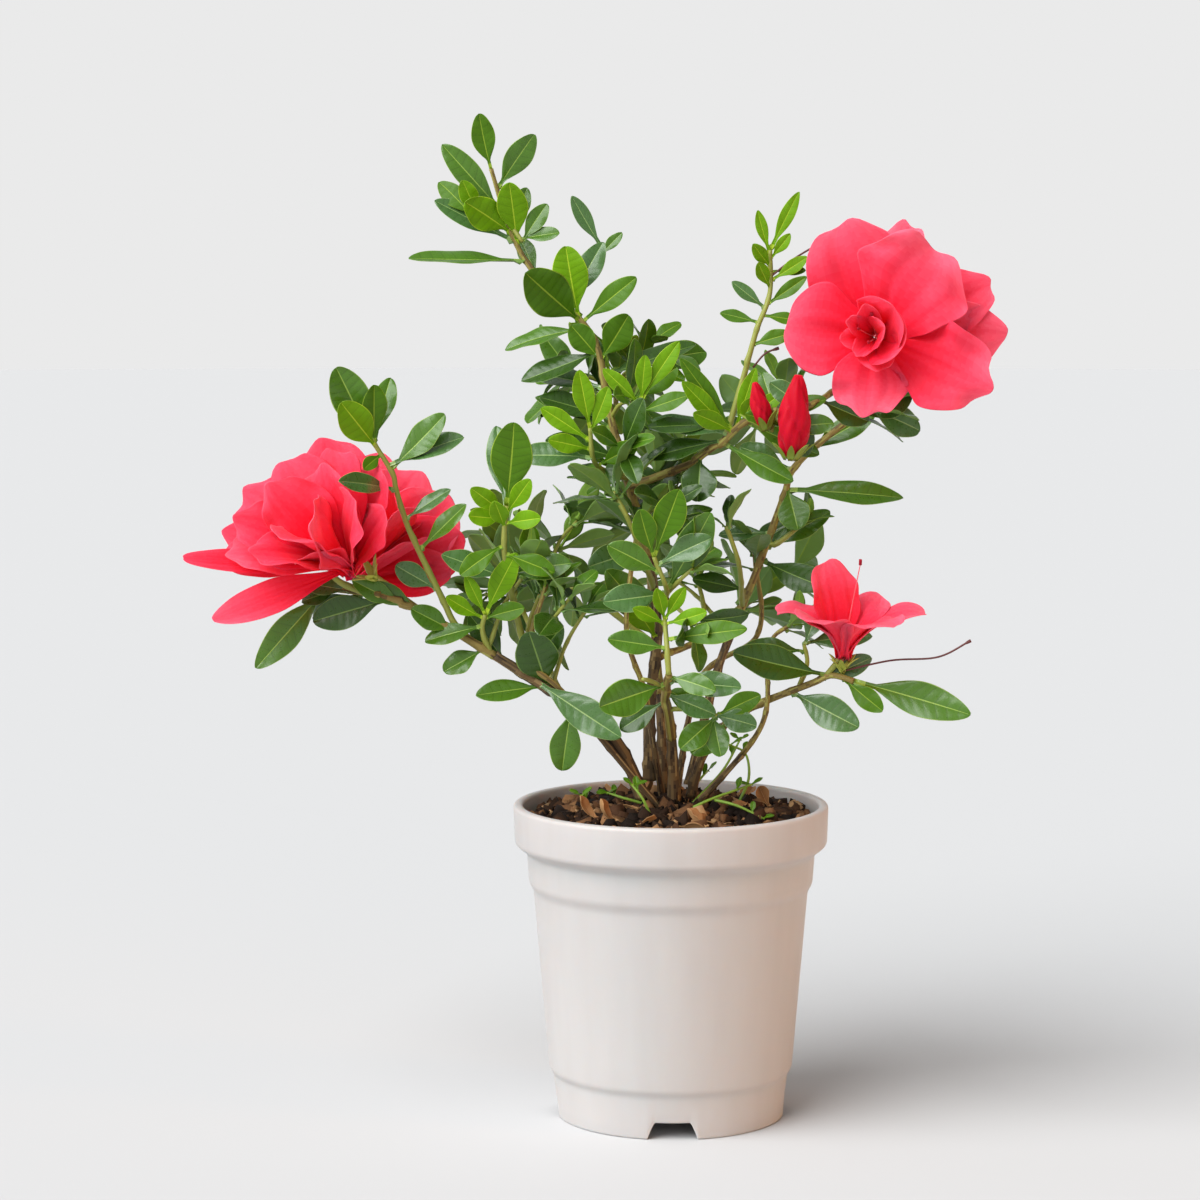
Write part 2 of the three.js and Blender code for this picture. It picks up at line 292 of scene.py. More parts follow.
def leaf_blade(name, colour, roughness, wax=0.1, gloss_level=0.4):
    """Living azalea leaf, a waxy cuticle over puckered cells: a satin sheen broken by a net of veins."""
    finish, tree, shader = surface(
        name, Base_Color=linear(colour), IOR=1.45, Specular_IOR_Level=gloss_level, Coat_Weight=wax,
        Coat_Roughness=0.2)
    place = add(tree, "ShaderNodeTexCoord").outputs["Object"]
    net = add(tree, "ShaderNodeTexVoronoi", {"Scale": scale_of(1.3), "feature": "SMOOTH_F1"},
              Vector=place).outputs["Distance"]
    cells = add(tree, "ShaderNodeTexNoise", {"Scale": scale_of(0.5), "Detail": 3.0}, Vector=place)
    puckers = add(tree, "ShaderNodeMath", {"operation": "MULTIPLY_ADD"})
    puckers.inputs[1].default_value = -0.8
    tree.links.new(net, puckers.inputs[0])
    tree.links.new(cells.outputs["Fac"], puckers.inputs[2])
    worked(tree, shader, net, (roughness - 0.08, roughness + 0.12), puckers.outputs["Value"], 0.18, 0.2)
    return finish


def petal_skin(name, colour):
    """Azalea petal, a velvety skin of tiny domed cells: matt, puckered, and aglow where light soaks in."""
    finish, tree, shader = surface(
        name, Base_Color=linear(colour), IOR=1.38, Specular_IOR_Level=0.2, Subsurface_Weight=0.4,
        Subsurface_Scale=0.003, Subsurface_Radius=(1.0, 0.12, 0.15), Sheen_Weight=0.04,
        Sheen_Roughness=0.5)
    place = add(tree, "ShaderNodeTexCoord").outputs["Object"]
    cells = add(tree, "ShaderNodeTexNoise", {"Scale": scale_of(1.3), "Detail": 4.0},
                Vector=place).outputs["Fac"]
    worked(tree, shader, cells, (0.5, 0.68), cells, 0.3, 0.25)
    return finish


def stem_skin(name, colour, roughness, grain):
    """Azalea bark or young shoot skin: fibres that run lengthwise, dull on old wood and satin on green."""
    finish, tree, shader = surface(name, Base_Color=linear(colour), IOR=1.45)
    place = add(tree, "ShaderNodeTexCoord").outputs["Object"]
    drawn_out = add(tree, "ShaderNodeMapping", {"Scale": (1.0, 1.0, 0.22)}, Vector=place)
    fibres = add(tree, "ShaderNodeTexNoise", {"Scale": scale_of(grain), "Detail": 5.0, "Roughness": 0.65},
                 Vector=drawn_out.outputs["Vector"]).outputs["Fac"]
    worked(tree, shader, fibres, (roughness - 0.1, roughness + 0.1), fibres, 0.5, 0.25)
    return finish


def crumb(name, colour):
    """Peat and bark crumb, torn and dry at the edges: dead matt, with a coarse broken face."""
    finish, tree, shader = surface(name, Base_Color=linear(colour), IOR=1.4, Specular_IOR_Level=0.25)
    place = add(tree, "ShaderNodeTexCoord").outputs["Object"]
    broken = add(tree, "ShaderNodeTexNoise", {"Scale": scale_of(0.8), "Detail": 6.0, "Roughness": 0.7},
                 Vector=place).outputs["Fac"]
    worked(tree, shader, broken, (0.75, 0.98), broken, 0.7, 0.4)
    return finish


def moulded_polypropylene(name, colour, shade):
    """Injection-moulded polypropylene, off-white: satin, a little waxy, with faint upright flow marks."""
    finish, tree, shader = surface(
        name, IOR=1.49, Subsurface_Weight=0.35, Subsurface_Scale=0.006,
        Subsurface_Radius=(1.0, 0.55, 0.38))
    place = add(tree, "ShaderNodeTexCoord").outputs["Object"]
    drawn_out = add(tree, "ShaderNodeMapping", {"Scale": (1.0, 1.0, 0.12)}, Vector=place)
    flow = add(tree, "ShaderNodeTexNoise", {"Scale": scale_of(9.0), "Detail": 3.0},
               Vector=drawn_out.outputs["Vector"]).outputs["Fac"]
    tone = add(tree, "ShaderNodeMix", {"data_type": "RGBA"})
    tone.inputs[6].default_value = linear(colour)
    tone.inputs[7].default_value = linear(shade)
    tree.links.new(flow, tone.inputs[0])
    tree.links.new(tone.outputs[2], shader.inputs["Base Color"])
    grain = add(tree, "ShaderNodeTexNoise", {"Scale": scale_of(0.7), "Detail": 2.0}, Vector=place)
    worked(tree, shader, flow, (0.4, 0.52), grain.outputs["Fac"], 0.08, 0.1)
    return finish


# ---- branches ---------------------------------------------------------------------------------

def centre_line(node, slices=26):
    """The middle line of a limb's solid, foot first, from slices across it, with its radius along it."""
    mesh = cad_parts[node].data
    points = np.array([v.co for v in mesh.vertices]) / MM
    edges = np.array([e.vertices[:] for e in mesh.edges])
    middle_of_mix = np.array([0.0, 0.0, 110.0])
    foot = points[np.linalg.norm(points - middle_of_mix, axis=1).argmin()]
    tip = points[np.linalg.norm(points - foot, axis=1).argmax()]
    chord = unit(tip - foot)
    run = points @ chord
    a, b = run[edges[:, 0]], run[edges[:, 1]]
    middles = []
    radii = []
    for level in np.linspace(run.min(), run.max(), slices)[1:-1]:
        cut = (a - level) * (b - level) < 0
        share = ((level - a[cut]) / (b[cut] - a[cut]))[:, None]
        ring = points[edges[cut, 0]] * (1 - share) + points[edges[cut, 1]] * share
        middles.append((ring.min(0) + ring.max(0)) / 2)
        radii.append(np.linalg.norm(ring - middles[-1], axis=1).mean())
    return np.array(middles), np.array(radii)


STEP = 1.6  # from one point of a limb's route to the next


class Branch:
    """A stem, bough or twig: a smooth route with its radius at each point."""

    def __init__(self, places, foot, tip):
        self.route = smooth_route(places, STEP)
        share = np.linspace(0, 1, len(self.route))
        self.radius = tip + (foot - tip) * (1 - share) ** 0.85
        self.tangents, self.sides, self.others = carried_frames(self.route)

    def row(self, share):
        return int(round(np.clip(share, 0, 1) * (len(self.route) - 1)))

    def at(self, share):
        return self.route[self.row(share)]

    def heading(self, share):
        return self.tangents[self.row(share)]


# Limbs that have a solid: foot and tip radius, flare at the foot, the branch they spring from and the
# share of its length where they do, and where they grow on to past the end of their solid, as shares
# of the box of the mass or bloom they enter.
LIMBS = {
    "main_stem": (2.2, 0.75, 0.6, None, 0, [("crown_tip", 0.46, 0.5, 0.62)]),
    "left_stem": (2.5, 1.3, 0.6, None, 0, []),
    "right_stem": (1.8, 1.0, 0.4, None, 0, [
        ("right_upper", 0.45, 0.5, 0.45), ("right_upper", 0.72, 0.45, 0.75)]),
    "front_stem": (2.2, 1.3, 0.5, None, 0, [("front_rosette", 0.5, 0.45, 0.45)]),
    "back_stem": (1.9, 1.2, 0.5, None, 0, [("back_middle", 0.45, 0.4, 0.3)]),
    "low_right_bough": (1.7, 1.1, 0.4, None, 0, [("low_right", 0.25, 0.5, 0.8)]),
    "upper_right_bough": (1.6, 1.0, 0, "main_stem", 0.46, [
        ("right_rosette", 0.7, 0.55, 0.42), ("right_bud", 0.75, 0.9, 0.62),
        ("right_bloom", 0.3, 0.65, 0.2)]),
    "right_riser": (1.2, 0.8, 0, "upper_right_bough", 0.42, [
        ("right_shoot", 0.5, 0.5, 0.3), ("right_shoot", 0.5, 0.5, 0.62)]),
    "left_riser": (1.25, 0.85, 0, "left_stem", 0.78, [("left_top", 0.38, 0.5, 0.3)]),
    "far_left_bough": (1.5, 1.0, 0, "left_stem", 1.0, [("left_under", 0.45, 0.5, 0.8)]),
    "back_low_bough": (1.5, 0.9, 0, "back_stem", 0.62, [("back_low", 0.55, 0.5, 0.5)]),
    "back_high_bough": (1.5, 0.9, 0, "main_stem", 0.44, [
        ("back_high", 0.5, 0.4, 0.3), ("back_high", 0.5, 0.5, 0.6)]),
    "crown_fork": (1.1, 0.7, 0, "main_stem", 0.8, []),
}

# Twigs that only show in the foliage: the branch they spring from, the share of its length, radius at
# foot and tip, and the places they run through.
TWIGS = {
    "crown_left_twig": ("main_stem", 0.93, 0.9, 0.7, [("crown_tip", 0.28, 0.4, 0.28)]),
    "crown_right_twig": ("main_stem", 0.9, 0.9, 0.7, [("crown_tip", 0.8, 0.4, 0.12)]),
    "heart_left_twig": ("main_stem", 0.47, 1.1, 0.8, [
        ("heart", 0.48, 0.25, 0.1), ("heart", 0.45, 0.2, 0.5)]),
    "heart_right_twig": ("main_stem", 0.5, 1.1, 0.8, [
        ("heart", 0.68, 0.3, 0.45), ("heart", 0.72, 0.3, 0.8)]),
    "fore_twig": ("left_stem", 0.55, 1.4, 0.9, [
        ("inner_left", 0.36, 0.4, 0.35), ("left_fore", 0.5, 0.5, 0.05), ("left_fore", 0.52, 0.5, 0.4)]),
    "low_left_twig": ("left_stem", 0.72, 1.1, 0.8, [("inner_left", 0.2, 0.35, 0.18)]),
    "rosette_twig": ("front_stem", 1.0, 1.1, 0.8, [("centre_fore", 0.58, 0.5, 0.25)]),
    "rosette_side_twig": ("front_stem", 0.75, 1.0, 0.7, [("front_rosette", 0.3, 0.4, 0.4)]),
    "low_front_twig": ("front_stem", 0.55, 1.0, 0.7, [("low_front", 0.5, 0.5, 0.5)]),
    "inner_twig": ("main_stem", 0.3, 1.2, 0.8, [
        ("inner_core", 0.3, 0.2, 0.2), ("inner_core", 0.15, 0.2, 0.6)]),
    "fore_core_twig": ("main_stem", 0.27, 1.2, 0.8, [
        ("centre_fore", 0.6, 0.6, 0.5), ("centre_fore", 0.5, 0.4, 0.85)]),
    "right_inner_twig": ("right_stem", 0.42, 1.1, 0.8, [
        ("right_inner", 0.6, 0.5, 0.4), ("right_inner", 0.45, 0.4, 0.8)]),
    "right_mid_twig": ("right_stem", 0.58, 1.1, 0.8, [
        ("right_mid", 0.12, 0.45, 0.5), ("right_mid", 0.3, 0.5, 0.75)]),
    "right_low_twig": ("low_right_bough", 0.75, 1.0, 0.7, [("right_low", 0.7, 0.4, 0.3)]),
    "low_bloom_stalk": ("low_right_bough", 0.88, 1.1, 0.9, [("low_bloom", 0.48, 0.5, 0.02)]),
    "right_back_twig": ("right_stem", 0.8, 1.1, 0.8, [
        ("right_back", 0.5, 0.4, 0.3), ("right_back", 0.5, 0.5, 0.7)]),
    "bloom_stalk_left": ("far_left_bough", 0.6, 1.3, 1.1, [("left_bloom", 0.8, 0.6, 0.2)]),
    "bloom_stalk_left_back": ("left_stem", 0.95, 1.2, 1.0, [("left_back_bloom", 0.5, 0.4, 0.1)]),
    "back_left_twig": ("back_stem", 0.55, 1.3, 0.8, [
        ("back_left", 0.75, 0.4, 0.3), ("back_left", 0.4, 0.5, 0.6)]),
    "back_left_low_twig": ("left_stem", 0.45, 1.2, 0.8, [
        ("back_left", 0.4, 0.15, 0.1), ("back_left", 0.3, 0.4, 0.4)]),
    "back_middle_twig": ("back_stem", 0.9, 1.2, 0.8, [("back_middle", 0.6, 0.6, 0.7)]),
    "back_low_twig": ("back_low_bough", 0.6, 1.1, 0.8, [("back_low", 0.3, 0.6, 0.7)]),
    "bud_stalk": ("upper_right_bough", 0.62, 0.9, 0.8, [("right_bud", 0.5, 0.5, 0.12)]),
    "small_bud_stalk": ("upper_right_bough", 0.58, 0.8, 0.7, [("right_bud", 0.15, 0.8, 0.35)]),
}

# Thin stems that come straight out of the mix between the stout ones: foot and tip radius, where on the
# mix they stand and the places they run through.
SUCKERS = {
    "left_sucker": (1.3, 0.8, (-4, -9), [
        ("left_low", 0.75, 0.4, 0.3), ("left_low", 0.5, 0.3, 0.9), ("inner_left", 0.55, 0.4, 0.6)]),
    "middle_sucker": (1.2, 0.8, (-3, 3), [
        ("centre_fore", 0.45, 1.4, -0.6), ("centre_fore", 0.3, 1.2, 0.1), ("inner_core", 0.35, 0.4, 0.3)]),
    "right_sucker": (1.2, 0.7, (9, -3), [
        ("low_front", 1.1, 0.7, 0.3), ("right_low", 0.3, 0.4, 0.2), ("right_low", 0.6, 0.5, 0.9)]),
    "back_sucker": (1.3, 0.8, (2, 12), [
        ("back_low_bough", 0.8, 0.3, -1.0), ("back_low", 0.6, -0.2, 0.3), ("right_inner", 0.8, 1.4, 0.5)]),
}
branches = {}


def grow_branches():
    """Works out every limb and twig, parents first."""
    for name, (foot, tip, (x, y), spots) in SUCKERS.items():
        start = np.array([x, y, corners_of("main_stem")[0][2] - 1])
        branches[name] = Branch([start] + [within(*spot) for spot in spots], foot, tip)
    for name, (foot, tip, _, parent, share, beyond) in LIMBS.items():
        middles, _ = centre_line(name)
        places = list(middles[::3]) + [middles[-1]]
        if parent:
            places = [branches[parent].at(share)] + places
        places += [within(*spot) for spot in beyond]
        branches[name] = Branch(places, foot, tip)
    for name, (parent, share, foot, tip, spots) in TWIGS.items():
        start = branches[parent].at(share)
        places = [start] + [within(*spot) for spot in spots]
        if len(places) == 2:
            bow = (places[0] + places[1]) / 2 + branches[parent].heading(share) * 2.5
            places = [places[0], bow, places[1]]
        branches[name] = Branch(places, foot, tip)


def bark_relief(seed, depth, flare):
    """Old bark: shallow lengthwise furrows, a swelling at each old leaf scar and a flare at the foot."""
    def relief(route, angle, radius):
        run = np.arange(len(route)) * STEP
        lines = np.sin(angle[None, :] * 3 + run[:, None] * 0.11 + seed)
        lines = lines + 0.7 * np.sin(angle[None, :] * 5 - run[:, None] * 0.07 + 2 * seed)
        knots = np.exp(-((run % 13 - 6) / 1.5) ** 2)[:, None] * (
            1 + np.cos(angle[None, :] - run[:, None] // 13 * 2.4 - seed))
        foot = flare * np.exp(-run / 5)[:, None]
        return radius[:, None] * (depth * 0.5 * lines + 0.17 * knots) + foot
    return relief


BARK_TINTS = ["#36281a", "#51402a", "#6d5737", "#90784f"]
RIPENING_TINTS = ["#65522a", "#857339", "#9b9448"]


def skin_tints(route, sides, count, seed):
    """Tints for a limb's faces, in streaks that run along it."""
    k = np.arange(sides)
    place = np.column_stack([np.repeat(route[:-1] @ np.array([0.25, 0.25, 0.3]), sides),
                             np.tile(np.cos(k * 2 * math.pi / sides) * 3, len(route) - 1),
                             np.tile(np.sin(k * 2 * math.pi / sides) * 3, len(route) - 1)])
    level = 0.5 + 0.32 * waves(place, 3.2, seed) + 0.2 * waves(place, 1.3, seed + 50)
    return np.clip(level * count, 0, count - 1).astype(int)


STEMS = ("main_stem", "left_stem", "right_stem", "front_stem", "back_stem", "low_right_bough")
RIPENING_BOUGHS = ("far_left_bough", "back_low_bough", "back_high_bough")


def make_wood():
    """All stems, boughs and twigs, in three joined pieces by the age of their skin."""
    old, ripening, green = Joined(), Joined(), Joined()
    for i, (name, branch) in enumerate(branches.items()):
        flare = LIMBS[name][2] if name in LIMBS else 0
        route, radius = branch.route, branch.radius
        if name in STEMS or name in SUCKERS:
            ripe = branch.row(0.35 if name != "left_stem" else 0.7)
            foot = route[:ripe + 1]
            tube(old, foot, radius[:ripe + 1], 16, skin_tints(foot, 16, len(BARK_TINTS), i),
                 bark_relief(i, 0.2, flare))
            if ripe < len(route) - 2:
                rest = route[ripe:]
                tube(ripening, rest, radius[ripe:], 12, skin_tints(rest, 12, len(RIPENING_TINTS), i),
                     bark_relief(i, 0.12, 0))
        elif name in RIPENING_BOUGHS or name == "upper_right_bough":
            tube(ripening, route, radius, 12, skin_tints(route, 12, len(RIPENING_TINTS), i),
                 bark_relief(i, 0.12, 0))
        else:
            tube(green, route, radius, 10, 0, bark_relief(i, 0.09, 0))
    old_bark = [stem_skin(f"old_bark_{i}", c, 0.8, 0.6) for i, c in enumerate(BARK_TINTS)]
    ripe_bark = [stem_skin(f"ripening_bark_{i}", c, 0.65, 0.8) for i, c in enumerate(RIPENING_TINTS)]
    old.make("old_wood", old_bark, "bark", *STEMS, *RIPENING_BOUGHS)
    ripening.make("ripening_wood", ripe_bark, "bark")
    green.make("green_twigs", [stem_skin("green_shoot_skin", "#8a8f3c", 0.5, 0.9)], "green_shoot",
               "upper_right_bough", "right_riser", "left_riser", "crown_fork")


# ---- leaves -----------------------------------------------------------------------------------

# Tints of the leaves, oldest first: blade, its sunken side veins darkened with painted shade, its midrib
# and stalk, and its underside.
TINTS = {
    "old": ("#2f4f0d", "#2a480b", "#6b893c", "#5d7f3c"),
    "cool": ("#456b30", "#3f622b", "#8ba661", "#769659"),
    "full": ("#456d12", "#3f640f", "#86a340", "#709241"),
    "fresh": ("#466e04", "#406503", "#86a02c", "#688a2e"),
    "young": ("#659204", "#5c8703", "#a2bc2e", "#7d9f2e"),
    "dry": ("#96683f", "#7c5332", "#b89066", "#a98055"),
}
# How each age of leaf takes the light: roughness, coat of wax and specular level. Wax builds up with age.
CUTICLES = {
    "old": (0.32, 0.12, 0.45), "cool": (0.3, 0.28, 0.5), "full": (0.32, 0.14, 0.45),
    "fresh": (0.44, 0.02, 0.25), "young": (0.5, 0.0, 0.2), "dry": (0.75, 0.0, 0.3),
}
# The side-vein tint is painted shade: the sunken veins are coloured darker than the blade, as if shaded in
# their grooves.
BLADE, VEIN_SHADE, RIB, UNDER = 0, 1, 2, 3
tint_order = {name: 4 * i for i, name in enumerate(TINTS)}
SIDES = np.array([-1, -0.96, -0.7, -0.4, -0.036, 0, 0.036, 0.4, 0.7, 0.96, 1])
PETIOLE = 0.1  # share of a leaf's length that is its stalk


def leaf_rows(veins):
    """Shares along the midrib of a leaf's rows, and whether each row of faces is a side vein."""
    rows = [0, 0.05, PETIOLE]
    is_vein = [False, False]
    half = 0.006  # half the breadth of a side vein
    places = PETIOLE + (0.93 - PETIOLE) * (np.arange(1, veins + 1) - 0.35) / veins
    last = PETIOLE
    for place in places:
        rows += [(last * 2 + place) / 3, (last + place * 2) / 3, place - half, place + half]
        is_vein += [False, False, False, True]
        last = place + half
    rows += [(last + 1) / 2, 0.975, 0.992, 0.9985, 1.0]
    is_vein += [False] * 5
    return np.array(rows), np.array(is_vein)


ROWS = {veins: leaf_rows(veins) for veins in (3, 6, 8)}


def leaf(joined, base, heading, face, length, width, tint, dice, fold=None, arch=None):
    """Adds one leaf: stalk, blade in its own outline with sunken veins tinted with painted shade, and a
    paler underside.
    """
    veins = 8 if length > 27 else 6 if length > 15 else 3
    along, is_vein = ROWS[veins]
    t = along[:, None]
    s = SIDES[None, :]
    slant = dice.uniform(0.14, 0.24)
    ramp = np.clip((t - PETIOLE) / 0.2, 0, 1)
    run = t + (1 - t) * ramp * (slant * np.abs(s) + dice.uniform(-0.03, 0.03) * s)
    edge = along + slant * (1 - along) * ramp[:, 0]
    u = np.clip((edge - PETIOLE) / (1 - PETIOLE), 0, 1)
    blunt = 0.4 + 0.5 * min(width / length, 0.6)
    outline = np.sin(math.pi * u ** dice.uniform(1.12, 1.38)) ** (1.15 - blunt * u) * width / 2.2
    stalk = 0.35 + 0.014 * length
    half = np.maximum(outline, stalk * np.clip(1.6 - 4 * u, 0.05, 1))[:, None]
    x = s * half
    y = run * length
    # sunken midrib and side veins, with the blade swelling between them
    vein_places = along[:-1][is_vein]
    gap = np.array([np.abs(v - vein_places).min() for v in along]) * veins
    pillow = (np.clip(gap * 2.2, 0, 1)[:, None] * (1 - np.abs(s) ** 3)
              * np.clip(np.abs(s) * 3, 0, 1))
    swell = (0.015 * width) * pillow * np.clip((t - PETIOLE) / 0.12, 0, 1)
    fold = dice.uniform(0.12, 0.4) if fold is None else fold
    lift = fold * np.abs(x) - 0.5 * fold * x ** 2 / (width / 2)
    ripple = 0.03 * width * np.sin(t * dice.uniform(9, 15) + dice.uniform(0, 6) + s * 2) * np.abs(s) ** 2
    z = swell + lift + ripple
    # the blade arches back along its length
    arch = dice.uniform(0.15, 0.7) if arch is None else arch
    angle = arch * (y / length) ** 1.3
    bend = arch if abs(arch) > 1e-3 else 1e-3
    yy = length * np.sin(bend * y / length) / bend + z * np.sin(angle)
    zz = -length * (1 - np.cos(bend * y / length)) / bend + z * np.cos(angle)
    twist = dice.uniform(-0.25, 0.25) * (y / length)
    xx = x * np.cos(twist)
    zz = zz + x * np.sin(twist)
    sway = dice.uniform(-0.06, 0.06) * length * (y / length) ** 2
    grid = placed(base, heading, face, xx + sway, yy, zz)
    rib = np.exp(-(s / 0.1) ** 2) * (1 - t) ** 0.7
    thickness = np.broadcast_to(0.22 + 0.012 * length * rib, x.shape).copy()
    thickness[along < PETIOLE] = 2 * half[along < PETIOLE] * 0.9
    first = tint_order[tint]
    top = np.full((len(along) - 1, len(SIDES) - 1), first + BLADE)
    # the side veins take the darker tint, painted shade in their grooves
    top[is_vein, 1:-1] = first + VEIN_SHADE
    top[:, 4:6] = first + RIB
    top[:, [0, -1]] = first + RIB
    top[:2, :] = first + RIB
    under = np.full(top.shape, first + UNDER)
    under[:, 4:6] = first + RIB
    thin_solid(joined, grid, thickness, top, under)


